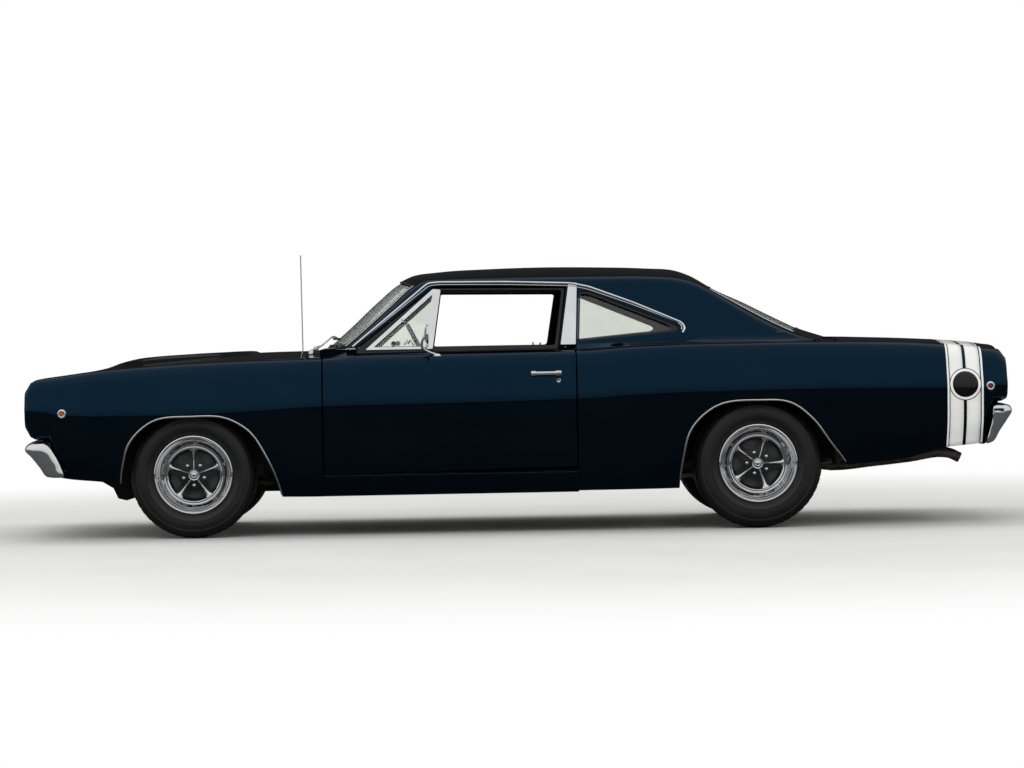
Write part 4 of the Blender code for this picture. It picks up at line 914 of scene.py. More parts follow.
def rounded(outline: Outline, radius: float) -> list[tuple[float, float]]:
    """A closed outline with its corners rounded."""
    points = [Vector(p) for p in outline]
    made = []
    for n, corner in enumerate(points):
        before, after = points[n - 1] - corner, points[(n + 1) % len(points)] - corner
        reach = min(radius, 0.45 * before.length, 0.45 * after.length)
        a, b = corner + before.normalized() * reach, corner + after.normalized() * reach
        made += [tuple(bend(a, corner, b, t)) for t in spread(0.0, 1.0, CORNER_STEPS)]
    return made


def scaled(outline: Outline, centre: Point, share: float) -> list[tuple[float, ...]]:
    """An outline grown or shrunk about a point."""
    return [tuple(c + (p - c) * share for p, c in zip(point, centre)) for point in outline]


ROOF_LINE = spline(ROOF, 8)


def roof_row(s: float) -> Vector:
    """The roof hoop at a place s counted in rows of the table."""
    t = max(0.0, min(len(ROOF_LINE) - 1.0, s * 8))
    n = min(int(t), len(ROOF_LINE) - 2)
    return ROOF_LINE[n].lerp(ROOF_LINE[n + 1], t - n)


def roof_point(s: float, u: float, sunk: float = 0.0) -> Vector:
    """A point of the roof skin.

    Args:
        s: Place along the roof, counted in rows of its table.
        u: Share of its half width, negative on the left.
        sunk: Depth below the skin, square to it.

    Returns:
        The point in the row frame.
    """
    if sunk:
        along = roof_point(min(s + 0.05, 15.99), u) - roof_point(max(s - 0.05, 0.01), u)
        across = roof_point(s, u + 0.02) - roof_point(s, u - 0.02)
        return roof_point(s, u) - along.cross(across).normalized() * sunk
    centre_x, centre_z, edge_x, edge_z = roof_row(s)
    x = centre_x + (edge_x - centre_x) * u * u
    z = centre_z + (edge_z - centre_z) * abs(u) ** 2.3
    return Vector((x, u * waist_y(edge_z), z))


def crowned(x: float, y: float, centre_z: float) -> float:
    """Height of a panel that is level with the lips at its edges and rises to its centre line."""
    edge = station(round(x, 4))
    share = min(1.0, abs(y) / edge["lip_y"])
    return edge["lip_z"] + (centre_z - edge["lip_z"]) * (1 - share**2.2)


def hood_z(x: float, y: float) -> float:
    """Height of the hood with its power bulge."""
    ramp = max(0.0, min(1.0, (0.34 - abs(y)) / 0.07))
    rise = between(HOOD, x, 2)
    return crowned(x, y, between(HOOD, x, 1)) + rise * ramp * ramp * (3 - 2 * ramp)


def lid_z(x: float, y: float) -> float:
    """Height of the trunk lid."""
    return crowned(x, y, between(LID, x, 1))


def half_opening(x: float) -> float:
    """Half the width of the opening between the lips, at its narrowest within a hinge's swing."""
    return min(station(round(p, 4))["lip_y"] for p in (x - 0.05, x, x + 0.05)) - SHUT_GAP


SIDE_VIEW = Matrix(((1, 0, 0, 0), (0, 0, -1, 0), (0, 1, 0, 0), (0, 0, 0, 1)))
FRONT_VIEW = Matrix(((0, 0, 1, 0), (1, 0, 0, 0), (0, 1, 0, 0), (0, 0, 0, 1)))


def side_view(y: float) -> Matrix:
    """Places an outline drawn in x and z at a distance from the centre plane."""
    return Matrix.Translation((0, y, 0)) @ SIDE_VIEW


def front_view(x: float) -> Matrix:
    """Places an outline drawn in y and z at a distance along the car."""
    return Matrix.Translation((x, 0, 0)) @ FRONT_VIEW


@dataclass
class BodySides:
    """Fenders, quarter panels and sills, with their mouldings, markers and tail stripe."""

    skin: float = 0.004
    trim_radius: float = 0.0055
    roundel: tuple = (2.3395, 0.739, 0.081)
    ring_width: float = 0.013
    sill_line: tuple = ((-0.01, 0.2122), (-0.001, 0.2104), (0.0022, 0.2125), (0.018, 0.25),
                        (0.0342, 0.29), (0.0419, 0.3165), (0.04, 0.3193), (0.01, 0.3195))

    def build(self) -> None:
        """Builds both sides."""
        front, rear = spline(FRONT_ARCH, 6), spline(REAR_ARCH, 6)
        for side, word in SIDES:
            self.panel(f"fender_skin_{word}", side, SIDE[0][0], DOOR_FRONT_X - SHUT_GAP, front,
                       FRONT_AXLE_X, f"fender_{word}")
            self.panel(f"quarter_skin_{word}", side, DOOR_REAR_X + SHUT_GAP, SIDE[-1][0], rear,
                       REAR_AXLE_X, f"quarter_panel_{word}")
            self.arch_trim(f"front_arch_trim_{word}", side, front, FRONT_AXLE_X)
            self.arch_trim(f"rear_arch_trim_{word}", side, rear, REAR_AXLE_X)
            self.sill(f"sill_{word}", side)
            self.stripe(side, word)
            self.marker(f"front_marker_{word}", side, -2.393, 0.668, AMBER_LENS)
            self.marker(f"rear_marker_{word}", side, 2.472, 0.727, RED_LENS)

    def panel(self, name: str, side: int, start: float, end: float, arch: Outline, axle_x: float,
              node: str) -> None:
        """One outer panel with its wheel opening.

        Args:
            name: The piece's name.
            side: -1 for the left side, 1 for the right.
            start: Where it starts along the car.
            end: Where it ends.
            arch: The wheel opening's line from the axle.
            axle_x: Where the axle is.
            node: The CAD node that it stands for.
        """
        rows = [[(x, side * p.x, p.y) for p in lifted(section(x), -dip)] for x, dip in edged(start, end)]
        hole = plate("arch", [[(axle_x + p[0], p[1]) for p in arch]], 0.5, side_view(side * 0.95))
        dress(smooth(cut(sheet(name, rows, (0, side, 0), self.skin), hole)), ENAMEL, replaces=[node])

    def arch_trim(self, name: str, side: int, arch: Outline, axle_x: float) -> None:
        """The thin bright moulding round a wheel opening, down to the body's bottom edge."""
        places = [(axle_x + p[0], p[1]) for p in arch]
        line = [(x, side * (skin_y(x, z) - 0.002), z + 0.003) for x, z in places
                if z > station(round(x, 4))["low_z"] + 0.004]
        dress(bar(name, line, self.trim_radius), STAINLESS)

    def sill(self, name: str, side: int) -> None:
        """The painted rocker under the door, 6 mm below it."""
        rows = []
        for x, dip in edged(DOOR_FRONT_X - 0.0065, DOOR_REAR_X + 0.0065, 0.05, 0.001):
            foot = station(x)["low_y"]
            line = [(0.8, 0.2262), *((foot + out, z) for out, z in self.sill_line)]
            rows.append([(x, side * (y - dip), z) for y, z in line])
        dress(sheet(name, rows, (0, side, 0), 0.002), ENAMEL)

    def stripe(self, side: int, word: str) -> None:
        """The white tail bands with the plain roundel on them."""
        white_bands(f"tail_stripe_{word}", lambda x: [
            (x, side * p.x, p.y) for p in lifted(section(round(x, 5)), STRIPE_LIFT)], (0, side, 0))
        cx, cz, radius = self.roundel
        field = radius - self.ring_width
        for name, inner, outer, lift, finish in (
            ("roundel_outline", radius, radius + 0.004, 0.0016, STRIPE_BLACK),
            ("roundel_ring", field, radius, 0.0018, STRIPE_WHITE),
            ("roundel_field", 0.0, field, 0.0017, STRIPE_BLACK),
        ):
            rings = [circle(cx, cz, r, 72) for r in spread(inner, outer, 4)]
            rows = [[(x, side * (skin_y(x, z) + lift), z) for x, z in (*ring, ring[0])] for ring in rings]
            disc = edit(patch(name, rows, (0, side, 0)), weld)
            dress(modify(disc, "SOLIDIFY", thickness=0.0005, offset=-1.0), finish).name = f"{name}_{word}"

    def marker(self, name: str, side: int, x: float, z: float, lens: Finish) -> None:
        """A round side marker lamp: a chrome bezel with a small coloured lens."""
        centre, axis = (x, side * (skin_y(x, z) - 0.004), z), (0, side, 0)
        dress(turned(name, ((0, 4), (10.5, 6), (12.5, 11), (17, 12.2), (21.5, 10.5), (24.5, 6), (24.5, 0)),
                     centre, axis, 40), CHROME)
        dress(turned(f"{name}_lens", ((0, 10.5), (4, 10.2), (8, 9), (10.5, 6.5), (10.5, 3), (0, 3)),
                     centre, axis, 28), lens)


@dataclass
class Door:
    """One door: its shell, window frame, vent window, trim, handle and, on the left, the mirror."""

    side: int
    word: str
    inner_y: float = 0.803
    foot_z: float = 0.324
    foot_rise: float = 0.018
    rear_step: float = 0.014
    frame: tuple = ((-0.85, 0.94), (-0.85, 0.982), (-0.446, 1.297), (0.25, 1.288), (0.206, 0.972),
                    (0.206, 0.94))
    vent: tuple = ((-0.762, 0.988), (-0.448, 1.262), (-0.506, 0.988))
    vent_rim: tuple = ((-0.806, 0.975), (-0.447, 1.291), (-0.405, 1.287), (-0.452, 0.975))
    window: tuple = ((-0.453, 0.986), (-0.412, 1.286), (0.236, 1.277), (0.192, 0.986))
    mirror_centre: tuple = (-0.482, 0.912, 1.05)

    def build(self) -> None:
        """Builds the door's pieces."""
        self.shell()
        self.window_frame()
        self.card()
        self.handle()
        if self.side < 0:
            self.mirror()

    def add(self, obj: Object, finish: Finish, replaces: Iterable[str] = ()) -> Object:
        """Dresses a piece that moves with the door."""
        return dress(obj, finish, f"door_{self.word}", replaces)

    def at(self, x: float, y: float, z: float) -> Vector:
        """A point on this side of the car, with y as a distance from the centre plane."""
        return Vector((x, self.side * y, z))

    def shell(self) -> None:
        """The closed shell: the body side outside, a flat wall inside."""
        rows = []
        for x, dip in edged(DOOR_FRONT_X, DOOR_REAR_X):
            bottom_z = self.foot_z + (x - DOOR_FRONT_X) * self.foot_rise
            outer = lifted(section(x, bottom_z), -dip)
            back = max(0.0, (x - DOOR_REAR_X + 0.05) / 0.05) * self.rear_step
            inner = ((self.inner_y, outer[-1].y - 0.001), (self.inner_y, bottom_z))
            rows.append([self.at(x, p.x, p.y) for p in outer] + [self.at(x - back, y, z) for y, z in inner])
        self.add(patch(f"door_shell_{self.word}", rows, ring=True), ENAMEL, [f"door_{self.word}"])
        seal = [self.at(x, 0.822, 0.9745) for x in (-0.84, -0.4, 0.1, 0.2)]
        self.add(bar(f"belt_seal_{self.word}", spline(seal, 6), 0.005, 2), SEAL)

    def window_frame(self) -> None:
        """Black frame round the glass opening and the bright frame of the vent window."""
        word, side, vent = self.word, self.side, rounded(self.vent, 0.01)
        self.add(window_plate(f"window_frame_{word}", side,
                              [rounded(self.frame, 0.012), vent, rounded(self.window, 0.016)],
                              0.008, 0.022, 0.002), SATIN_BLACK)
        self.add(window_plate(f"vent_frame_{word}", side, [rounded(self.vent_rim, 0.008), vent],
                              0.002, 0.012, 0.0035, 3), CHROME)
        pane = rounded(scaled(self.vent, (-0.57, 1.08), 1.01), 0.008)
        self.add(window_plate(f"vent_pane_{word}", side, [pane], 0.012, 0.005), SIDE_GLASS,
                 [f"vent_glass_{word}"])
        latch = [self.at(-0.6, waist_y(1.0) - 0.03, 1.0), self.at(-0.585, waist_y(1.02) - 0.035, 1.022)]
        self.add(bar(f"vent_latch_{word}", latch, 0.006), CHROME)

    def card(self) -> None:
        """The vinyl card inside, with its arm rest, window crank, release handle and lock knob."""
        y, word = self.inner_y - 0.005, self.word
        outline = rounded(((-0.955, 0.4), (-0.965, 0.93), (0.235, 0.93), (0.225, 0.4)), 0.03)
        self.add(plate(f"door_card_{word}", [outline], 0.01, side_view(self.side * y), 0.004), VINYL)
        ribs = [bar("rib", [self.at(-0.93, y - 0.006, z), self.at(0.2, y - 0.006, z)], 0.0035, 2)
                for z in (0.5, 0.52, 0.78)]
        self.add(join(f"card_mouldings_{word}", *ribs), STAINLESS)
        rest = side_box(f"arm_rest_{word}", self.side, (-0.42, y - 0.065, 0.635), (-0.1, y - 0.004, 0.685),
                        0.018, 4)
        self.add(rest, VINYL)
        crank, axis = self.at(-0.52, y - 0.006, 0.66), Vector((0, -self.side, 0))
        grip = crank + axis * 0.034 + Vector((0.085, 0, 0.05))
        handles = [turned("boss", ((0, 30), (14, 28), (20, 10), (22, 0)), crank, axis, 24),
                   bar("arm", [crank + axis * 0.024, grip], 0.006),
                   turned("knob", ((0, 24), (11, 20), (12, 6), (7, 0)), grip, axis, 20),
                   bar("release", [self.at(-0.7, y - 0.006, 0.83), self.at(-0.7, y - 0.03, 0.83),
                                   self.at(-0.6, y - 0.034, 0.835)], 0.007)]
        self.add(join(f"door_handles_{word}", *handles), CHROME)
        pin = [self.at(0.115, 0.812, z) for z in (0.966, 0.998)]
        self.add(bar(f"lock_knob_{word}", pin, 0.004), SATIN_BLACK)

    def handle(self) -> None:
        """The bright pull with its push button, and the key lock below it."""
        side, out, axis = self.side, skin_y(0.14, 0.836), (0, self.side, 0)
        parts = [side_box("grip", side, (0.074, out + 0.014, 0.8265), (0.196, out + 0.02, 0.8455), 0.0029)]
        parts += [side_box("foot", side, (x0, out - 0.004, 0.823), (x1, out + 0.0185, 0.849), 0.006)
                  for x0, x1 in ((0.06, 0.088), (0.186, 0.222))]
        parts.append(turned("button", ((0, 4), (9, 3.5), (11.5, 1), (11.5, -10)),
                            self.at(0.204, out + 0.0185, 0.836), axis, 28))
        parts.append(turned("lock", ((0, 3.5), (4, 3.5), (4.5, 4.5), (9.5, 5), (11.5, 3), (12.5, -4)),
                            self.at(0.205, skin_y(0.205, 0.797), 0.797), axis, 28))
        self.add(join(f"outer_handle_{self.word}", *parts), CHROME)

    def mirror(self) -> None:
        """The round mirror on its bent stalk."""
        centre = self.at(*self.mirror_centre)
        head = turned("mirror_head", ((0, 14), (20, 12.5), (40, 6), (50, -1), (52, -6), (50, -10),
                                      (47.5, -9.5)), centre, FORWARD, 40)
        stalk = bar("stalk", spline([self.at(-0.43, 0.864, 0.944), self.at(-0.468, 0.874, 0.956),
                                     self.at(-0.506, 0.89, 0.984), self.at(-0.506, 0.904, 1.015),
                                     self.at(-0.492, 0.911, 1.042)], 6), 0.007)
        base = turned("base", ((0, 12), (10, 11), (20, 6), (26, 0), (26, -6)),
                      self.at(-0.428, 0.862, 0.941), (0, self.side * 0.15, 1), 28)
        self.add(join("mirror_shell_left", head, stalk, base), CHROME)
        face = turned("mirror_face_left", ((0, -9.8), (47.5, -9.8), (47.5, -6), (0, -6)), centre, FORWARD, 40)
        self.add(face, CHROME)


@dataclass
class Cabin:
    """Roof shell with its glass, drip rails and bright window mouldings."""

    thickness: float = 0.026
    edge_share: float = 0.95
    columns: int = 40
    pillar: tuple = ((0.222, 0.984), (0.273, 1.312), (0.3165, 1.309), (0.301, 0.984))
    seal: tuple = ((0.205, 0.99), (0.236, 1.306), (0.292, 1.304), (0.285, 0.99))
    quarter: tuple = ((0.321, 1.009), (0.334, 1.254), (0.382, 1.249), (0.792, 1.081), (0.806, 1.063),
                      (0.786, 1.05))

    def build(self) -> None:
        """Builds the roof, its glass and its mouldings."""
        self.shell()
        self.glass()
        for side, word in SIDES:
            self.side_trim(side, word)

    def hoop(self, s: float) -> list[Vector]:
        """One cross section of the roof and its side walls, from the left waist to the right one."""
        edge, start = roof_point(s, 1.0), roof_point(s, self.edge_share)
        reach = min(0.035, max(0.0004, (edge.z - WAIST_Z) * 0.8))
        low = Vector((edge.x, waist_y(edge.z - reach), edge.z - reach))
        half = [bend(start, edge, low, t) for t in spread(0.0, 1.0, 5)[1:]]
        half += [Vector((edge.x, waist_y(z), z)) for z in spread(low.z, WAIST_Z - 0.004, 4)[1:]]
        top = [roof_point(s, u) for u in spread(-self.edge_share, self.edge_share, self.columns)]
        return [*(Vector((p.x, -p.y, p.z)) for p in reversed(half)), *top, *half]

    def shell(self) -> None:
        """The painted roof: top, side walls and pillars in one skin, with the openings cut."""
        places = [n / 6 for n in range(16 * 6 + 1)]
        skirt = 9

        def keep(i: int, j: int) -> bool:
            """Whether a cell is outside the two glass openings."""
            s = (places[i] + places[i + 1]) / 2
            share = abs(self.edge_share * (2 * (j - skirt + 0.5) / self.columns - 1))
            return not any(first < s < last and share < width
                           for first, last, width in (WINDSHIELD, BACKLIGHT))

        roof = sheet("roof_shell", [self.hoop(s) for s in places], UPWARD, self.thickness, keep)
        holes = [solid_box("foot", (-1.3, -1.0, 0.8), (1.9, 1.0, WAIST_Z + 0.001), 0.0)]
        holes += [window_plate("hole", side, [rounded(outline, 0.012)], -0.05, 0.2)
                  for side, _ in SIDES for outline in (DOOR_OPENING, QUARTER_OPENING)]
        dress(smooth(cut(roof, *holes)), ENAMEL, replaces=["roof"])

    def glass(self) -> None:
        """Windshield and rear window, each with a bright reveal moulding."""
        for name, node, (first, last, share), sunk in (
            ("windshield_glass", "windshield", WINDSHIELD, 0.008),
            ("backlight_glass", "rear_window", BACKLIGHT, 0.002),
        ):
            half = share - 0.004
            rows = [[roof_point(s, u, sunk) for u in spread(-half, half, 64)]
                    for s in spread(first + 0.02, last - 0.02, 48)]
            dress(sheet(name, rows, UPWARD, 0.005), GLASS, replaces=[node])
            half, last = share + 0.004, last + 0.01
            side_line = [roof_point(s, half, 0.004) for s in spread(first, last, 30)]
            top = [roof_point(last, u, 0.004) for u in spread(half, -half, 30)[1:-1]]
            foot = [roof_point(first, u, 0.004) for u in spread(-half, half, 30)[1:-1]]
            loop = [*side_line, *top, *(Vector((p.x, -p.y, p.z)) for p in reversed(side_line)), *foot]
            dress(bar(f"{name}_moulding", loop, 0.0065, closed=True), STAINLESS)

    def side_trim(self, side: int, word: str) -> None:
        """Drip rail, centre pillar cover and the quarter window with its frame."""
        line = [GUTTER[0], *rounded(GUTTER, 0.02)[5:-5], GUTTER[-1]]
        rail = bar("rail", [(x, side * (waist_y(z) + 0.0045), z) for x, z in line], 0.0065)
        middle = Vector((0.0, 1.1))
        inner = []
        for x, z in line[:-1]:
            p = Vector((x, z))
            p = p + (middle + Vector(((x - middle.x) * 0.75, 0)) - p).normalized() * 0.014
            inner.append((p.x, side * (waist_y(p.y) + 0.0015), p.y))
        dress(join(f"drip_rail_{word}", rail, bar("bead", inner, 0.0032, 2)), CHROME)
        cover, seal = rounded(self.pillar, 0.004), rounded(self.seal, 0.004)
        dress(window_plate(f"pillar_cover_{word}", side, [cover], -0.003, 0.01, 0.003, 3), CHROME)
        dress(window_plate(f"pillar_seal_{word}", side, [seal], 0.037, 0.01, 0.003), SEAL)
        centre = (0.5, 1.14)
        frame = [rounded(line, 0.012) for line in (scaled(QUARTER_OPENING, centre, 0.995), self.quarter)]
        dress(window_plate(f"quarter_frame_{word}", side, frame, 0.004, 0.012, 0.002), SATIN_BLACK)
        pane = rounded(scaled(QUARTER_OPENING, centre, 0.96), 0.012)
        dress(window_plate(f"quarter_pane_{word}", side, [pane], 0.017, 0.005), SIDE_GLASS,
              replaces=[f"quarter_glass_{word}"])


@dataclass
class TopPanels:
    """Hood with its power bulge, and trunk lid."""

    depth: float = 0.02
    columns: int = 48
    edge_radius: float = 0.004
    lid_bow: float = 0.038

    def bowed(self, x: float, y: float) -> float:
        """Where a place on the lid lies along the car, as its rear edge bows out in the middle."""
        reach = max(0.0, min(1.0, (x - 1.9) / 0.6))
        return x + self.lid_bow * reach * (1 - min(1.0, abs(y) / 0.7) ** 2)

    def build(self) -> None:
        """Builds the hood and the lid, and the white bands over the lid."""
        for name, rows_of, height, body in (("hood_panel", HOOD, hood_z, "hood"),
                                            ("lid_panel", LID, lid_z, "trunk_lid")):
            rows = []
            for x, dip in edged(rows_of[0][0], rows_of[-1][0], 0.022, self.edge_radius):
                half = half_opening(x)
                line = []
                for turn in spread(-0.5, 0.5, self.columns):
                    y = half * math.sin(turn * math.pi)
                    side_dip = max(0.0, self.edge_radius - (half - abs(y)))
                    along = self.bowed(x, y) if body == "trunk_lid" else x
                    line.append((along, y, height(x, y) - dip - side_dip))
                rows.append(line)
            dress(sheet(name, rows, UPWARD, self.depth), ENAMEL, body, [body])
        white_bands("lid_stripe", self.lid_line, UPWARD, "trunk_lid")

    def lid_line(self, x: float) -> list[Point]:
        """A line across the lid, just above it."""
        half = half_opening(x) - 0.003
        return [(self.bowed(x, y), y, lid_z(x, y) + STRIPE_LIFT) for y in spread(-half, half, 40)]


@dataclass
class Wheels:
    """Four tyres with cut tread on five-spoke chromed steel wheels."""

    steps: int = 144
    spoke_count: int = 5
    nut_circle: float = 0.057
    slot_depth: float = 0.006
    # A spoke's rows in millimetres: distance from the axis, half its width, heights of its foot and crest.
    spoke_rows: tuple = ((26, 7, 34, 50), (40, 6, 34, 50), (60, 6.2, 33, 48.5), (85, 7.6, 32, 47.5),
                         (108, 10, 32, 48), (124, 14, 34, 50), (132, 20, 38, 51.5), (137, 29, 44, 52))

    def build(self) -> None:
        """Builds one wheel for each axle and copies it to the other places."""
        for end, x, z, first_spoke in (
            ("front", FRONT_AXLE_X, FRONT_HUB_Z, 90.0),
            ("rear", REAR_AXLE_X, REAR_HUB_Z, 72.0),
        ):
            centre = Vector((x, -HALF_TRACK, z))
            for obj, role, finish, node in (
                (self.tyre(centre, z), "tyre", TYRE, "tyre"),
                (self.bright_parts(centre, first_spoke), "wheel_trim", CHROME, "rim"),
                (self.dark_parts(centre, first_spoke), "wheel_disc", CHARCOAL, None),
            ):
                right = mirrored(obj, f"{role}_skin_{end}_right")
                obj.name = obj.data.name = f"{role}_skin_{end}_left"
                for piece, word in ((obj, "left"), (right, "right")):
                    stands_for = [f"{node}_{end}_{word}"] if node else []
                    dress(piece, finish, f"wheel_{end}_{word}", stands_for)

    def tyre(self, centre: Vector, radius: float) -> Object:
        """A tyre with ribs, cross slots at its shoulders and rings on its side walls."""
        r = radius * 1000
        half = [
            (r, 0), (r, 15), (r - 7, 17), (r - 7, 23), (r - 0.5, 25), (r - 1, 45), (r - 8, 47), (r - 8, 53),
            (r - 2.5, 55), (r - 3.5, 66), (r - 6, 80), (r - 12, 91.5), (r - 22, 100), (r - 34, 105.5),
            (r - 36, 107.2), (r - 42, 108), (r - 44, 106.8), (r - 56, 109.8), (262, 111.6), (250, 110.8),
            (248, 112.2), (244.5, 112), (242.5, 109.4), (233, 106), (224, 101.5), (222, 101.8),
            (218.5, 100.2), (216.5, 97.5), (209.5, 92.5), (198.5, 85.5),
        ]
        profile = [*half, *((reach, -out) for reach, out in reversed(half[1:]))]
        tyre = turned("tyre", profile, centre, (0, -1, 0), self.steps, closed=True)
        for vertex in tyre.data.vertices:
            offset = vertex.co - centre
            step = round(math.atan2(offset.z, offset.x) / math.tau * self.steps)
            out, reach = abs(offset.y), math.hypot(offset.x, offset.z)
            shoulder = 0.054 < out < 0.093 and step % 3 == 0 and reach > radius - 0.013
            rib = 0.024 < out < 0.046 and step % 3 == 1 and reach > radius - 0.002
            if shoulder or rib:
                share = (reach - self.slot_depth) / reach
                vertex.co = centre + Vector((offset.x * share, offset.y, offset.z * share))
        return tyre

    def bright_parts(self, centre: Vector, first_spoke: float) -> Object:
        """Trim ring, spokes, hub cap, nuts and valve."""
        ring = turned("ring", (
            (135, 44), (136, 50), (139.5, 52.8), (144, 53.2), (147.5, 50.8), (150, 49), (154, 50), (160, 57),
            (170, 70), (179, 82), (184, 87.2), (186.2, 87.4), (188.5, 90), (192.5, 94.5), (194.5, 94.8),
            (197, 97.8), (201.5, 99.2), (206, 97.5), (208.5, 93.5), (207.5, 90.5), (198, 88), (186, 78),
            (170, 61), (156, 44), (145, 43),
        ), centre, (0, -1, 0), 96, closed=True)
        cap = turned("cap", (
            (0, 56), (10, 55.6), (12.5, 54), (15, 55.6), (19, 55.2), (21.5, 52.5), (24.5, 52), (27.5, 52.8),
            (30, 50.5), (31, 44), (32.5, 32),
        ), centre, (0, -1, 0), 48)
        parts = [ring, cap]
        for n in range(self.spoke_count):
            parts.append(self.spoke(centre, math.radians(first_spoke + 72 * n)))
            parts.append(self.nut(centre, math.radians(first_spoke + 36 + 72 * n)))
        valve = centre + Vector((-0.166, -0.062, -0.012))
        parts.append(bar("valve", [valve, valve + Vector((0.004, -0.028, 0))], 0.0035))
        return join("wheel_trim", *parts)

    def spoke(self, centre: Vector, angle: float) -> Object:
        """One spoke: a ridge that widens into the ring."""
        rows = []
        along = Vector((math.cos(angle), 0, math.sin(angle))) / 1000
        across = Vector((-math.sin(angle), 0, math.cos(angle))) / 1000
        for r, half, base, crest in self.spoke_rows:
            right = ((0.25, crest), (0.62, crest - 2), (0.96, (base + crest) / 2), (1.0, base))
            line = [*((-share, out) for share, out in reversed(right)), *right]
            rows.append([centre + along * r + across * (half * share) + Vector((0, -out / 1000, 0))
                         for share, out in line])
        return patch("spoke", rows, ring=True)

    def nut(self, centre: Vector, angle: float) -> Object:
        """One domed wheel nut."""
        deselect()
        place = centre + Vector((math.cos(angle) * self.nut_circle, -0.041,
                                 math.sin(angle) * self.nut_circle))
        bpy.ops.mesh.primitive_cylinder_add(vertices=6, radius=0.0098, depth=0.016, location=place,
                                            rotation=(math.pi / 2, 0, 0))
        nut = bpy.context.object
        bpy.ops.object.transform_apply(location=True, rotation=True, scale=True)
        return smooth(modify(nut, "BEVEL", width=0.0025, segments=2, limit_method="ANGLE"))

    def dark_parts(self, centre: Vector, first_spoke: float) -> Object:
        """The painted centre with its five pockets, and the rim's inner barrel."""
        disc = turned("disc", (
            (0, 36), (30, 35.5), (68, 35), (76, 32), (100, 30), (126, 32), (136, 44), (150, 44), (150, 30),
            (130, 24), (76, 22), (0, 22),
        ), centre, (0, -1, 0), 72)
        for n in range(self.spoke_count):
            middle = math.radians(first_spoke + 36 + 72 * n)
            corners = ((0.084, -0.3), (0.124, -0.4), (0.128, -0.22), (0.129, 0.0), (0.128, 0.22),
                       (0.124, 0.4), (0.084, 0.3), (0.081, 0.0))
            outline = [(centre.x + r * math.cos(middle + a), centre.z + r * math.sin(middle + a))
                       for r, a in corners]
            cut(disc, plate("pocket", [outline], 0.08, side_view(centre.y - 0.03)))
        barrel = turned("barrel", (
            (201, 88), (197.5, 85), (190, 60), (185, 30), (185, -50), (195, -86), (207.5, -93.5),
            (207.5, -96), (193, -90), (181, -50), (181, 30), (160, 44), (148, 43), (148, 40), (159, 40),
            (178, 27), (186, 62),
        ), centre, (0, -1, 0), 72, closed=True)
        return join("wheel_disc", smooth(disc), barrel)


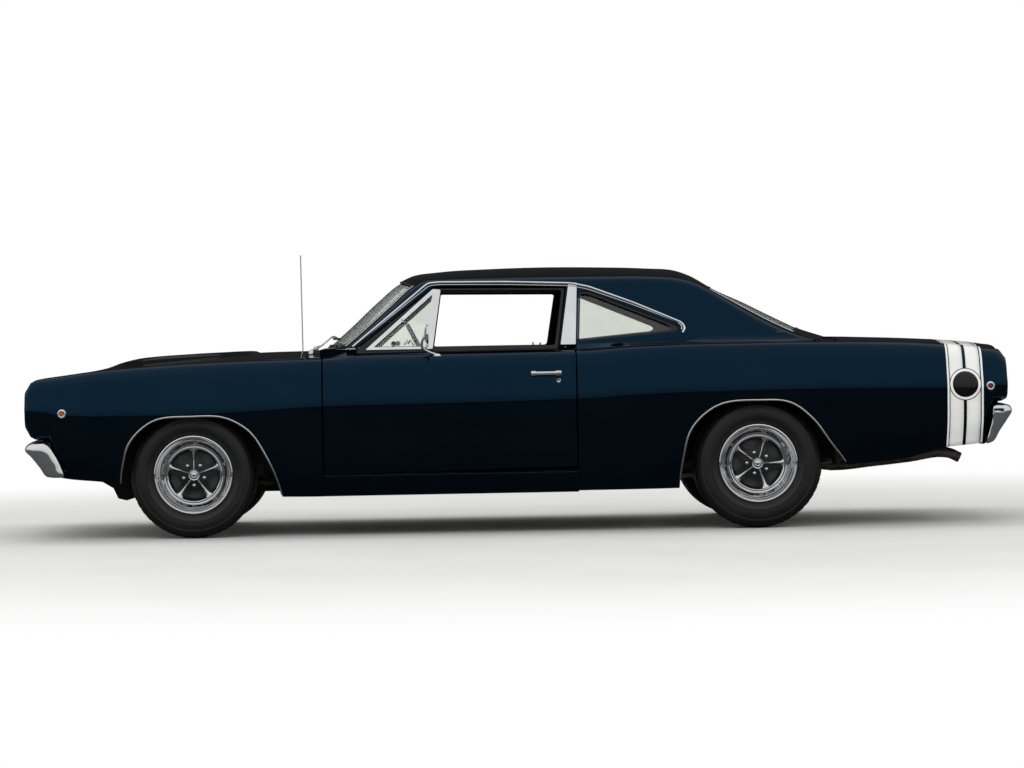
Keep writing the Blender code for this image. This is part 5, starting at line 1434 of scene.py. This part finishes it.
@dataclass
class Studio:
    """Pale floor, soft lights and the camera at the photograph's angle."""

    focal_px: float = 3613.85
    image_width: int = 1024
    sensor_mm: float = 36.0
    place: tuple = (-0.3648, -19.8465, 1.0307)
    yaw: float = 0.0172
    pitch: float = -0.0131
    roll: float = 0.0179
    floor_z: float = -0.0006
    ambient: float = 0.8
    shadow_reach: tuple = (3.4, 7.5)
    dark_floor: tuple = (0.11, 0.11, 0.11, 1)
    sky: tuple = ((0.0, 0.6), (0.06, 0.62), (0.16, 0.76), (0.35, 0.9), (0.6, 0.95), (0.9, 1.0))
    far_side: tuple = ((0.35, 0.85), (1.0, 0.035))

    def build(self) -> None:
        """Builds the stage, the lights, the world and the camera."""
        self.floor()
        self.world()
        for name, place, size, energy in (
            ("key", (-3.5, -6.5, 6.0), (7.0, 3.0), 150.0),
            ("fill", (4.5, -7.0, 4.5), (5.0, 3.0), 70.0),
            ("top", (0.0, 1.0, 7.0), (9.0, 4.0), 140.0),
            ("rear", (0.5, 8.0, 5.0), (9.0, 3.0), 90.0),
        ):
            light = bpy.data.lights.new(name, "AREA")
            light.shape = "RECTANGLE"
            light.size, light.size_y = size
            light.energy = energy
            lamp = bpy.data.objects.new(name, light)
            bpy.context.scene.collection.objects.link(lamp)
            lamp.location = place
            lamp.visible_glossy = False
            lamp.rotation_mode = "QUATERNION"
            lamp.rotation_quaternion = (Vector((0, 0, 0.5)) - lamp.location).to_track_quat("-Z", "Y")
        self.camera()
        bpy.context.scene.view_settings.view_transform = "Standard"

    def floor(self) -> None:
        """A wide, plain, pale floor that keeps the shadow, white far from it and darker in reflections."""
        deselect()
        bpy.ops.mesh.primitive_plane_add(size=400, location=(0, 0, self.floor_z))
        floor = bpy.context.object
        floor.name = "floor"
        # Matt paper of the backdrop: pale grey, hardly mottled.
        paper = Finish("matt_floor", "D9D9D7", "D5D5D3", (0.8, 0.9), grain_mm=30, relief_mm=0.0,
                       mottle_mm=900, level=0.2).make()
        tree = paper.node_tree
        path = add_node(tree, "ShaderNodeLightPath").outputs
        place = add_node(tree, "ShaderNodeTexCoord").outputs["Object"]
        reach = add_node(tree, "ShaderNodeVectorMath", {"operation": "LENGTH"}, {0: place}).outputs["Value"]
        seen = add_maths(tree, "MULTIPLY", add_fade(tree, reach, self.shadow_reach), path["Is Camera Ray"])
        mirrored_ray = add_maths(tree, "SUBTRACT", path["Is Glossy Ray"], path["Is Transmission Ray"])
        white = add_node(tree, "ShaderNodeEmission", {"Color": (1, 1, 1, 1), "Strength": 1.0}).outputs[0]
        dark = add_node(tree, "ShaderNodeBsdfDiffuse", {"Color": self.dark_floor}).outputs[0]
        shown = tree.nodes["Principled BSDF"].outputs[0]
        for share, other in ((seen, white), (mirrored_ray, dark)):
            shown = add_node(tree, "ShaderNodeMixShader", links={0: share, 1: shown, 2: other}).outputs[0]
        tree.links.new(shown, tree.nodes["Material Output"].inputs["Surface"])
        floor.data.materials.append(paper)
        floor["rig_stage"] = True

    def world(self) -> None:
        """White to the camera and through glass, shaded by height in reflections, softer as light."""
        world = bpy.data.worlds.new("studio")
        bpy.context.scene.world = world
        world.use_nodes = True
        tree = world.node_tree
        path = add_node(tree, "ShaderNodeLightPath").outputs
        seen = add_maths(tree, "MAXIMUM", path["Is Camera Ray"], path["Is Transmission Ray"])
        mirrored_ray = add_maths(tree, "SUBTRACT", path["Is Glossy Ray"], seen)
        level = add_node(tree, "ShaderNodeMapRange", {"To Min": self.ambient, "To Max": 1.0},
                         {"Value": seen}).outputs["Result"]
        direction = add_node(tree, "ShaderNodeTexCoord").outputs["Generated"]
        parts = add_node(tree, "ShaderNodeSeparateXYZ", links={0: direction}).outputs
        shade = add_node(tree, "ShaderNodeValToRGB", links={"Fac": parts["Z"]})
        stops = shade.color_ramp.elements
        stops[0].position, stops[1].position = self.sky[0][0], self.sky[-1][0]
        for position, _ in self.sky[1:-1]:
            stops.new(position)
        for stop, (_, value) in zip(stops, self.sky):
            stop.color = (value, value, value, 1)
        mirrored_sky = add_maths(tree, "MULTIPLY", shade.outputs["Color"],
                                 add_fade(tree, parts["Y"], *self.far_side))
        strength = add_node(tree, "ShaderNodeMix", {"data_type": "FLOAT"},
                            {"Factor": mirrored_ray, "A": level, "B": mirrored_sky}).outputs[0]
        back = tree.nodes["Background"]
        back.inputs["Color"].default_value = (1.0, 1.0, 1.0, 1.0)
        tree.links.new(strength, back.inputs["Strength"])

    def camera(self) -> None:
        """The camera where the photograph was taken from."""
        yaw, pitch, roll = self.yaw, self.pitch, self.roll
        forward = Vector((math.sin(yaw) * math.cos(pitch), math.cos(yaw) * math.cos(pitch), math.sin(pitch)))
        level = Vector((math.cos(yaw), -math.sin(yaw), 0))
        down = forward.cross(level)
        right = level * math.cos(roll) + down * math.sin(roll)
        down = down * math.cos(roll) - level * math.sin(roll)
        data = bpy.data.cameras.new("camera")
        data.sensor_width = self.sensor_mm
        data.lens = self.focal_px * self.sensor_mm / self.image_width
        data.clip_end = 500.0
        camera = bpy.data.objects.new("camera", data)
        bpy.context.scene.collection.objects.link(camera)
        columns = (right, -down, -forward, Vector(self.place))
        camera.matrix_world = Matrix([[c[k] for c in columns] for k in range(3)] + [[0, 0, 0, 1]])
        bpy.context.scene.camera = camera


def both_halves(half: Outline) -> list[tuple[float, float]]:
    """A closed outline from its right half, drawn in y and z from bottom to top."""
    return [*half, *((-y, z) for y, z in reversed(half))]


def height_on(node: str, x: float, y: float) -> float:
    """Height of a CAD node's top face at a place."""
    hit, place, _, _ = bpy.data.objects[node].ray_cast(Vector((x, y, 3.0)), Vector((0, 0, -1)))
    return place.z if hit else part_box(node)[1][2]


@dataclass
class Bumpers:
    """The two chromed steel bars on their brackets."""

    skin: float = 0.004
    half_length: float = 2.631
    corner_radius: float = 0.055
    bow_width: float = 0.86
    pocket: tuple = (2.489, 2.537, 0.5885, 0.6085)
    front_foot: tuple = ((-2.4605, 0.4), (-2.4605, 0.425), (-2.577, 0.425), (-2.558, 0.4))
    rear_foot: tuple = ((2.4555, 0.5), (2.4555, 0.525), (2.573, 0.525), (2.556, 0.5))

    def build(self) -> None:
        """Builds both bars, and the pockets in the rear one's ends: a chrome lip round a dark plate of
        painted shade.
        """
        for name, rows, inwards, foot in (("front_bumper", FRONT_BUMPER, 1, self.front_foot),
                                          ("rear_bumper", REAR_BUMPER, -1, self.rear_foot)):
            bow = self.half_length - max(abs(row[1]) for row in rows)
            lines = [self.line(row, inwards, bow) for row in spline(rows, 4)]
            dress(sheet(f"{name}_bar", lines, (-inwards, 0, 0), self.skin), CHROME, replaces=[name])
            arms = [plate("arm", [foot], 0.04, side_view(y), 0.002) for y in (-0.39, 0.39)]
            dress(join(f"{name}_arms", *arms), UNDERCOAT)
        x0, x1, z0, z1 = self.pocket
        outline = rounded(((x0, z0), (x1, z0 + 0.002), (x1 - 0.003, z1), (x0 + 0.001, z1)), 0.004)
        grown = rounded(((x0 - 0.004, z0 - 0.007), (x1 + 0.007, z0 - 0.005), (x1 + 0.004, z1 + 0.005),
                         (x0 - 0.003, z1 + 0.005)), 0.007)
        for side, word in SIDES:
            # The satin black plate in each pocket is painted shade, where the chrome end steps in.
            dress(plate(f"bumper_pocket_shade_{word}", [outline], 0.002, side_view(side * 0.9293)), SATIN_BLACK)
            lip = plate(f"bumper_lip_{word}", [grown, outline], 0.005, side_view(side * 0.9302), 0.0018)
            dress(lip, CHROME)

    def line(self, row: Point, inwards: int, bow: float) -> list[Point]:
        """One line along a bar, from its left end round both corners.

        Args:
            row: Height, where the bar stands at its corners, how far out its ends are and where they stop.
            inwards: 1 for the front bar, -1 for the rear one.
            bow: How far its middle stands ahead of its corners.

        Returns:
            Points in the row frame.
        """
        z, corner_x, side_y, end_x = row
        corner = min(self.corner_radius, 0.8 * abs(end_x - corner_x))
        half = [(corner_x - inwards * bow * (1 - (y / self.bow_width) ** 2), y)
                for y in (0.0, 0.14, 0.28, 0.42, 0.56, 0.68, 0.78, 0.84)]
        for turn in (math.radians(10 + 14 * n) for n in range(6)):
            half.append((corner_x + inwards * corner * (1 - math.cos(turn)),
                         side_y - corner * (1 - math.sin(turn))))
        half += [((half[-1][0] + end_x) / 2, side_y), (end_x, side_y)]
        return [(x, -y, z) for x, y in reversed(half[1:])] + [(x, y, z) for x, y in half]


@dataclass
class Nose:
    """Grille and the four lamps in it."""

    lamp_z: float = 0.683
    lamp_ys: tuple = (0.685, 0.5)
    face_x: float = -2.518
    rim: tuple = ((0.8, 0.545), (0.843, 0.6), (0.843, 0.74), (0.775, 0.818))
    mouth: tuple = ((0.78, 0.57), (0.81, 0.61), (0.81, 0.73), (0.75, 0.793))
    bead: tuple = ((0.79, 0.558), (0.827, 0.605), (0.827, 0.735), (0.762, 0.805))
    back: tuple = ((0.79, 0.56), (0.82, 0.61), (0.82, 0.73), (0.76, 0.803))

    def build(self) -> None:
        """Builds the grille, then two lamps at each side."""
        edges = [rounded(both_halves(line), 0.02) for line in (self.rim, self.mouth)]
        dress(plate("grille_surround", edges, 0.05, front_view(-2.535), 0.007, 3), SATIN_BLACK,
              replaces=["grille"])
        line = [(-2.561, y, z) for y, z in rounded(both_halves(self.bead), 0.02)]
        dress(bar("grille_bead", line, 0.0045, closed=True), STAINLESS)
        mesh = [plate("back", [both_halves(self.back)], 0.01, front_view(-2.511))]
        mesh += [solid_box("stay", (-2.511, y - 0.04, 0.62), (-2.3455, y + 0.04, 0.643)) for y in (-0.6, 0.6)]
        mesh += [solid_box("fin", (-2.53, -0.405, z), (-2.51, 0.405, z + 0.003), 0.001, 1)
                 for z in (0.588 + 0.0145 * n for n in range(14))]
        mesh += [solid_box("post", (-2.526, y - 0.001, 0.585), (-2.51, y + 0.001, 0.785), 0.0)
                 for y in (0.05 + 0.05 * n for n in range(-9, 8)) if abs(y) > 0.03]
        dress(join("grille_mesh", *mesh), SATIN_BLACK)
        bars = [solid_box("bar", (-2.535, -0.408, z), (-2.514, 0.408, z + 0.006), 0.0015)
                for z in (0.605, 0.648, 0.691, 0.734)]
        bars.append(solid_box("divider", (-2.548, -0.016, 0.575), (-2.512, 0.016, 0.792), 0.005, 3))
        dress(join("grille_bars", *bars), STAINLESS)
        for side, word in SIDES:
            self.lamps(side, word)

    def lamps(self, side: int, word: str) -> None:
        """Bezels, bright bowls and fluted lenses of one side's two lamps."""
        rings, lenses = [], []
        for y in self.lamp_ys:
            centre = (self.face_x, side * y, self.lamp_z)
            rings.append(turned("bezel", ((68.5, 4), (70, 15), (72.5, 21.5), (77, 23.5), (81, 20), (82, 10),
                                          (82, 0), (68.5, 0)), centre, FORWARD, 56, closed=True))
            rings.append(turned("bowl", ((0, 1), (30, 1.8), (60, 6), (69, 10), (69, 0.5), (0, 0)),
                                centre, FORWARD, 40))
            lenses.append(turned("lens", ((0, 27), (20, 26.2), (40, 23.8), (56, 19.8), (66.5, 15), (69, 12.5),
                                          (69, 10.5), (0, 23.5)), centre, FORWARD, 48))
        dress(join(f"headlamp_bezels_{word}", *rings), CHROME, replaces=[f"headlamps_{word}"])
        dress(join(f"headlamp_lenses_{word}", *lenses), LENS)


@dataclass
class Tail:
    """Tail panel and lamps between the quarters."""

    lamp: tuple = (0.3, 0.8, 0.7, 0.812)
    gaps: tuple = ((0.452, 0.464), (0.628, 0.64))
    face_x: float = 2.5205
    half: tuple = ((0.84, 0.6), (0.852, 0.65), (0.888, 0.72), (0.838, 0.86), (0.79, 0.885), (0.6, 0.893))
    wedge: tuple = ((2.432, 0.42), (2.458, 0.42), (2.49, 0.5), (2.503, 0.6), (2.503, 0.632), (2.432, 0.632))

    def build(self) -> None:
        """Builds the panel, the lamps and the lock."""
        panel = plate("tail_face", [rounded(both_halves(self.half), 0.02)], 0.03, front_view(2.505), 0.004)
        lower = plate("lower", [self.wedge], 1.6, side_view(0.0), 0.006)
        lip = solid_box("lip", (2.45, -0.7, 0.612), (2.505, 0.7, 0.628), 0.005)
        dress(join("tail_face", panel, lower, lip), ENAMEL, replaces=["tail_panel"])
        y0, y1, z0, z1 = self.lamp
        lenses, frames = [], []
        for side, _ in SIDES:
            ends = [y0, *(y for gap in self.gaps for y in gap), y1]
            lenses += [side_box("lens", side, (self.face_x, y, z0 + 0.004), (2.533, end, z1 - 0.004), 0.007)
                       for y, end in zip(ends[::2], ends[1::2])]
            rims = [rounded([(side * y, z) for y, z in self.lamp_outline(out, up)], radius)
                    for out, up, radius in ((0.008, 0.006, 0.014), (0.0, -0.002, 0.012))]
            frames.append(plate("frame", rims, 0.013, front_view(self.face_x + 0.007), 0.003))
            frames += [solid_box("rib", (self.face_x, side * y - 0.006, z0), (2.5345, side * y + 0.006, z1))
                       for y in (sum(gap) / 2 for gap in self.gaps)]
        dress(join("tail_lamp_lenses", *lenses), RED_LENS, replaces=["tail_lamps"])
        frames.append(solid_box("strip", (self.face_x, -0.291, 0.744), (2.526, 0.291, 0.768), 0.0025))
        frames.append(turned("lock", ((0, 6), (5, 6), (6, 7.5), (13, 7), (15, 4), (16, 0)),
                             (self.face_x, 0, 0.835), REARWARD, 32))
        dress(join("tail_lamp_frames", *frames), CHROME)

    def lamp_outline(self, out: float, up: float) -> list[tuple[float, float]]:
        """The lamp's oblong in y and z, grown by these distances."""
        y0, y1, z0, z1 = self.lamp
        return [(y0 - out, z0 - up), (y1 + out, z0 - up), (y1 + out, z1 + up), (y0 - out, z1 + up)]


@dataclass
class Fittings:
    """Small parts of the outside: wipers, cowl slots and hood vents as painted shade, fillets, filler lid and
    pivots.
    """

    vent_x: tuple = (-2.02, -1.6)
    fillet_x: tuple = (0.305, 1.555)
    filler: tuple = (1.232, 0.944, 0.068)
    filler_height: float = 0.015 / 0.068

    def build(self) -> None:
        """Builds them on both sides."""
        self.wipers()
        self.cowl_slot_shades()
        for side, word in SIDES:
            self.hood_vent_shade(side, word)
        for side, word in SIDES:
            self.fillet(side, word)
            self.vent_fittings(side, word)
        line = [(x, -(skin_y(x, z) + 0.0002), z) for x, z in circle(*self.filler, 48, self.filler_height)]
        dress(bar("filler_gap", line, 0.0013, 1, closed=True), SEAL)

    def wipers(self) -> None:
        """Two wipers parked at the foot of the windshield."""
        arms, blades = [], []
        for pivot_y, first, last in ((-0.56, -0.66, -0.1), (0.1, 0.02, 0.58)):
            foot = Vector((-1.1, pivot_y, height_on("cowl", -1.1, pivot_y)))
            along = [roof_point(0.34, u, -0.012) for u in spread(first, last, 8)]
            arms.append(turned("cap", ((0, 24), (10, 22), (14, 14), (16, 0)), foot, UPWARD, 24))
            knots = [foot + Vector((0, 0, 0.018)), foot + Vector((0.03, 0.05, 0.028)),
                     along[3] + Vector((-0.02, -0.02, 0.012)), along[4] + Vector((0, 0, 0.008))]
            arms.append(bar("arm", spline(knots, 5), 0.0045, 2))
            arms.append(bar("bridge", [p + Vector((0, 0, 0.005)) for p in along[1:8]], 0.003, 2))
            blades.append(bar("blade", along, 0.004, 2))
        dress(join("wiper_arms", *arms), STAINLESS)
        dress(join("wiper_blades", *blades), SEAL)

    def cowl_slot_shades(self) -> None:
        """Dark boxes ahead of the windshield where the air intake's slots open: painted shade of the slots.
        """
        slots = []
        for y in (0.055 * n for n in range(-11, 12)):
            z = height_on("cowl", -1.088, y)
            slots.append(solid_box("slot", (-1.112, y - 0.018, z - 0.002), (-1.062, y + 0.018, z + 0.0012),
                                   0.001, 1))
        dress(join("cowl_slot_shades", *slots), SEAL)

    def hood_vent_shade(self, side: int, word: str) -> None:
        """A dark patch on the side of the hood's bulge: painted shade where the vent is recessed."""
        rows = []
        for n, x in enumerate(spread(*self.vent_x, 20)):
            half = 0.02 * min(1.0, 0.3 + n / 7, 0.3 + (20 - n) / 7)
            rows.append([(x, side * y, hood_z(x, y) + 0.0012) for y in spread(0.304 - half, 0.304 + half, 6)])
        dress(sheet(f"hood_vent_shade_{word}", rows, UPWARD, 0.0012), SATIN_BLACK, "hood")

    def fillet(self, side: int, word: str) -> None:
        """The smooth foot of the roof on the quarter panel, behind the quarter window."""
        edge = [(row[2], row[3]) for row in ROOF]
        corner = Vector((waist_y(0.9865) + 0.0006, 0.9865))
        rows = []
        for x in spread(*self.fillet_x, 50):
            top = max(0.9905, min(between(edge, x, 1) - 0.004, 0.989 + (x - 0.87) * 0.3, 1.035))
            wall = Vector((waist_y(top) - 0.0012, top))
            body = section(round(x, 4))[-4] + Vector((0.0012, 0.0013))
            line = [bend(wall, corner, body, t) for t in spread(0, 1, 8)]
            rows.append([(x, side * p.x, p.y) for p in line])
        dress(sheet(f"sail_fillet_{word}", rows, (0, side, 1), 0.002), ENAMEL)

    def vent_fittings(self, side: int, word: str) -> None:
        """The vent window's knob and its upper pivot."""
        knob = turned("knob", ((0, 12), (11, 10), (14.5, 0), (11, -10), (0, -12)),
                      (-0.657, side * (waist_y(1.003) - 0.028), 1.003), (0, side, 0), 24)
        dress(knob, SATIN_BLACK, f"door_{word}").name = f"vent_knob_{word}"
        top = Vector((-0.612, side * (waist_y(1.135) + 0.001), 1.135))
        pivot = bar(f"vent_pivot_{word}", [top, top + Vector((0.006, 0, -0.02))], 0.0045)
        dress(pivot, CHROME, f"door_{word}")


@dataclass
class Interior:
    """Benches, dashboard, steering wheel and linings."""

    voxel: float = 0.012
    pitch: float = 0.086
    pleat: float = 0.007
    swelling: float = 0.012
    pressure: float = 4.0
    frames: int = 20
    fill: float = 0.8
    tilt: float = math.radians(27)
    wheel: tuple = (-0.497, -0.37, 0.926)
    front_base: tuple = ((-0.375, 0.368), (-0.388, 0.45), (-0.355, 0.508), (-0.16, 0.5), (0.03, 0.482),
                         (0.06, 0.43), (0.05, 0.368))
    front_back: tuple = ((0.078, 0.48), (0.12, 0.64), (0.178, 0.89), (0.232, 0.91), (0.268, 0.872),
                         (0.225, 0.64), (0.16, 0.44), (0.1, 0.42))
    rear_base: tuple = ((0.565, 0.372), (0.512, 0.49), (0.556, 0.534), (0.7, 0.534), (0.84, 0.524),
                        (0.85, 0.486), (0.7, 0.44))
    rear_back: tuple = ((0.868, 0.56), (0.92, 0.7), (0.985, 0.888), (1.046, 0.902), (1.082, 0.862),
                        (1.03, 0.7), (0.966, 0.522), (0.88, 0.5))

    def build(self) -> None:
        """Builds everything in the cabin."""
        for end, base, back, half_width, room in (
            ("front", self.front_base, self.front_back, 0.655, (-0.6, 0.5, 0.492)),
            ("rear", self.rear_base, self.rear_back, 0.565, (0.4, 0.99, 0.518)),
        ):
            self.pad(f"{end}_seat_cushion", base, half_width, room, True, [f"{end}_seat"])
            self.pad(f"{end}_seat_back", back, half_width, room, False, [])
        tracks = [solid_box("track", (-0.32, y - 0.018, 0.3235), (0.1, y + 0.018, 0.372), 0.004)
                  for y in (-0.54, -0.22, 0.22, 0.54)]
        dress(join("seat_tracks", *tracks), SATIN_BLACK)
        self.dashboard()
        self.steering_wheel()
        self.linings()

    def pad(self, name: str, outline: Outline, half_width: float, room: Point, flat: bool,
            nodes: Sequence[str]) -> None:
        """One padded bench part: a smaller shape swelled by cloth simulation, then pleated.

        Args:
            name: The piece's name.
            outline: Its side view.
            half_width: Half its width.
            room: First and last x and the height of the room over the tunnel.
            flat: Whether its pleats are on its top face, not on its front.
            nodes: The CAD nodes that it stands for.
        """
        pad = plate(name, [rounded(outline, 0.035)], 2 * half_width - 0.03, side_view(0.0), 0.024, 3)
        if outline[0][1] < room[2] - 0.05:
            cut(pad, solid_box("room", (room[0], -0.185, 0.2), (room[1], 0.185, room[2]), 0.0))
        modify(pad, "REMESH", mode="VOXEL", voxel_size=self.voxel)
        modify(pad, "SMOOTH", factor=0.5, iterations=8)
        self.swell(pad)
        modify(pad, "SUBSURF", levels=1, render_levels=1)
        normals = [vertex.normal.copy() for vertex in pad.data.vertices]
        for vertex, normal in zip(pad.data.vertices, normals):
            facing = normal.z if flat else -normal.x
            off = abs((vertex.co.y / self.pitch) % 1.0 - 0.5) * self.pitch
            fade = min(1.0, max(0.0, (half_width - 0.05 - abs(vertex.co.y)) / 0.03))
            groove = self.pleat * math.exp(-(off / self.pleat) ** 2)
            vertex.co -= normal * (max(0.0, facing) * fade * groove)
        dress(smooth(pad, math.radians(60)), VINYL, replaces=nodes)

    def swell(self, pad: Object) -> None:
        """Blows a pad up like a filled cover and keeps each point near where it started."""
        start = [vertex.co.copy() for vertex in pad.data.vertices]
        pick(pad)
        cloth = pad.modifiers.new("cloth", "CLOTH")
        cloth.settings.use_pressure = True
        cloth.settings.uniform_pressure_force = self.pressure
        cloth.settings.effector_weights.gravity = 0.0
        cloth.point_cache.frame_start, cloth.point_cache.frame_end = 1, self.frames
        for frame in range(1, self.frames + 1):
            bpy.context.scene.frame_set(frame)
        bpy.ops.object.modifier_apply(modifier=cloth.name)
        bpy.context.scene.frame_set(1)
        for vertex, place in zip(pad.data.vertices, start):
            move = vertex.co - place
            if move.length > self.swelling:
                vertex.co = place + move * (self.swelling / move.length)

    def dashboard(self) -> None:
        """The padded dashboard with its instruments, glove box lid and knobs."""
        line = [(-1.033, 0.7), (-1.033, 0.925), (-0.86, 0.925), (-0.74, 0.9), (-0.72, 0.8), (-0.78, 0.7),
                (-0.9, 0.66)]
        dash = plate("dashboard_pad", [rounded(line, 0.02)], 1.47, side_view(0.0), 0.01, 3)
        dress(dash, VINYL, replaces=["dashboard"])
        rings, faces, hands = [], [], []
        for y, r in ((-0.55, 36), (-0.445, 52), (-0.315, 52), (-0.21, 36)):
            centre = Vector((-0.722, y, 0.852))
            rings.append(turned("ring", ((r - 4, 0), (r - 3, 6), (r, 7.5), (r + 3, 5), (r + 4, -6),
                                         (r - 4, -6)), centre, REARWARD, 40, closed=True))
            faces.append(turned("face", ((0, 1.5), (r - 4, 1.5), (r - 4, 0), (0, 0)), centre, REARWARD, 32))
            hands.append(bar("hand", [centre + Vector((0.003, 0, 0)),
                                      centre + Vector((0.003, 0.0006 * r, 0.0004 * r))], 0.0012, 1))
        rings += [turned("knob", ((0, 22), (10, 20), (12, 10), (8, 0)), (-0.724, y, 0.835), REARWARD, 24)
                  for y in (-0.06, 0.0, 0.06)]
        lid = [(0.18, 0.81), (0.58, 0.81), (0.58, 0.885), (0.18, 0.885)]
        rings.append(bar("trim", [(-0.722, y, z) for y, z in rounded(lid, 0.01)], 0.002, 2, closed=True))
        dress(join("gauge_rings", *rings), CHROME)
        dress(join("gauge_faces", *faces), DIAL)
        cluster = solid_box("cluster", (-0.745, -0.62, 0.792), (-0.7225, -0.13, 0.906), 0.008, 3)
        dress(join("gauge_cluster", cluster, *hands), SATIN_BLACK)

    def steering_wheel(self) -> None:
        """Rim, dished spokes, hub with its horn button, and column."""
        axis = Vector((-math.cos(self.tilt), 0, -math.sin(self.tilt)))
        up = Vector((-math.sin(self.tilt), 0, math.cos(self.tilt)))
        centre = Vector(self.wheel)
        parts = [turned("rim", circle(195, 0, 11.5, 14), centre, axis, 96, closed=True)]
        for side in (-1, 1):
            for lift in (-0.02, 0.02):
                line = [centre + Vector((0, side * r, 0)) + up * (lift * (0.4 + r * 3)) + axis * along
                        for r, along in ((0.03, 0.04), (0.07, 0.034), (0.13, 0.016), (0.188, 0.002))]
                parts.append(bar("spoke", spline(line, 5), 0.007))
        parts.append(turned("hub", ((0, 8), (30, 10), (46, 22), (52, 36), (50, 50), (30, 62), (26, 70),
                                    (26, 241.5), (0, 241.5)), centre, axis, 40))
        dress(join("steering_wheel_rim", *parts), SATIN_BLACK, replaces=["steering_wheel"])
        button = turned("button", ((0, 2), (20, 4), (28, 9.5), (28, 12)), centre, axis, 32)
        ring = turned("ring", circle(108, 24, 4, 8), centre, axis, 64, closed=True)
        dress(join("horn_ring", ring, button), CHROME)

    def linings(self) -> None:
        """Carpet, headliner, sun visors and the inside mirror."""
        rows = []
        for x, top in ((-1.1, 0.503), (-0.7, 0.487), (-0.3, 0.468), (0.1, 0.474), (0.5, 0.481)):
            half = ((0.596, 0.3235), (0.4, 0.3235), (0.18, 0.324), (0.165, 0.332), (0.106, top))
            line = [*((-y, z) for y, z in half), (0.0, top + 0.003), *reversed(half)]
            rows.append([(x, y, z + 0.004) for y, z in line])
        dress(sheet("floor_carpet", rows, UPWARD, 0.004), CARPET)
        rows = [[roof_point(s, u, 0.031) for u in spread(-0.93, 0.93, 28)] for s in spread(4.2, 10.8, 22)]
        dress(sheet("headliner_panel", rows, (0, 0, -1), 0.003), HEADLINER)
        visors = [side_box("visor", side, (-0.5, 0.1, 1.333), (-0.36, 0.52, 1.349), 0.007)
                  for side, _ in SIDES]
        dress(join("sun_visors", *visors), VINYL)
        back = solid_box("back", (-0.56, -0.105, 1.252), (-0.545, 0.105, 1.3), 0.006, 3)
        stalk = bar("stalk", [(-0.556, 0, 1.29), (-0.56, 0, 1.335)], 0.006)
        dress(join("inside_mirror", back, stalk), SATIN_BLACK)
        glass = solid_box("inside_mirror_glass", (-0.546, -0.099, 1.256), (-0.5435, 0.099, 1.296), 0.001)
        dress(glass, CHROME)


@dataclass
class Underside:
    """Exhaust, fuel tank and rear rails."""

    radius: float = 0.028
    route: tuple = (
        (-1.5, 0.3225, 0.455), (-1.495, 0.3225, 0.35), (-1.455, 0.3225, 0.288), (-1.36, 0.3225, 0.262),
        (-1.1, 0.245, 0.262), (-0.1, 0.235, 0.262), (0.6, 0.24, 0.262), (0.86, 0.33, 0.3),
        (1.08, 0.36, 0.425), (1.38, 0.36, 0.425), (1.62, 0.45, 0.315), (1.92, 0.48, 0.33),
        (2.08, 0.6, 0.352), (2.27, 0.62, 0.373), (2.295, 0.62, 0.368), (2.345, 0.62, 0.344))
    muffler: tuple = ((30, 0), (58, 4), (68, 12), (75, 30), (75, 490), (68, 512), (58, 522), (30, 526))
    muffler_place: tuple = (-0.048, 0.235, 0.236)
    muffler_shape: tuple = (1.25, 0.62)
    rail: tuple = ((1.1, 0.43), (1.4, 0.405), (1.55, 0.36), (1.74, 0.352), (2.4, 0.41), (2.4, 0.44),
                   (1.1, 0.446))

    def build(self) -> None:
        """Builds the pipes with their mufflers, the tank and the rails."""
        parts, tips = [bar("link", [(-0.45, -0.24, 0.262), (-0.45, 0.24, 0.262)], 0.022, 5)], []
        shift_x, shift_y, shift_z = self.muffler_place
        wide, high = self.muffler_shape
        for side, _ in SIDES:
            line = [Vector((x, side * y, z)) for x, y, z in self.route]
            parts.append(bar("pipe", spline(line, 5), self.radius, 6))
            muffler = turned("muffler", self.muffler, (0, 0, 0), REARWARD, 40)
            for vertex in muffler.data.vertices:
                x, y, z = vertex.co
                vertex.co = (x + shift_x, side * shift_y + wide * y, shift_z + high * z)
            parts.append(muffler)
            # Each pipe's end is closed by a dark cap: painted shade inside the hollow pipe.
            tips.append(turned("mouth", ((0, -4), (22.5, -4), (24.5, 0.8), (27, 0.6)), line[-1],
                               line[-1] - line[-2], 32))
        dress(join("exhaust_pipes", *parts), PIPE, replaces=["exhaust"])
        dress(join("exhaust_mouth_shades", *tips), SEAL)
        tank = solid_box("tank", (1.765, -0.415, 0.3455), (2.315, 0.415, 0.418), 0.022, 4)
        straps = [solid_box("strap", (1.761, y - 0.016, 0.3445), (2.319, y + 0.016, 0.4183), 0.02, 4)
                  for y in (-0.24, 0.24)]
        dress(join("tank_shell", tank, *straps), TANK, replaces=["fuel_tank"])
        rails = [plate("rail", [self.rail], 0.05, side_view(side * 0.455), 0.005) for side, _ in SIDES]
        dress(join("rear_rails", *rails), UNDERCOAT)


def dress_cad_nodes() -> None:
    """Gives each CAD node that still shows the finish of the real part."""
    finishes = {"cowl": ENAMEL, "underbody": UNDERCOAT, "engine_bay": SATIN_BLACK, "engine": IRON,
                "front_suspension": UNDERCOAT, "knuckle_left": IRON, "knuckle_right": IRON,
                "rear_axle": IRON, "antenna": STAINLESS}
    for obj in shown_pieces():
        if obj.name in finishes and "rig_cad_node" in obj:
            obj.data.materials.clear()
            obj.data.materials.append(finishes[obj.name].make())


def main() -> None:
    """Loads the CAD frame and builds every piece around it."""
    logging.basicConfig(level=logging.INFO, format="%(message)s")
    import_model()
    Studio().build()
    BodySides().build()
    for side, word in SIDES:
        Door(side, word).build()
    for group in (Cabin, TopPanels, Wheels, Bumpers, Nose, Tail, Fittings, Interior, Underside):
        group().build()
    dress_cad_nodes()
    deselect()


if __name__ == "__main__":
    main()
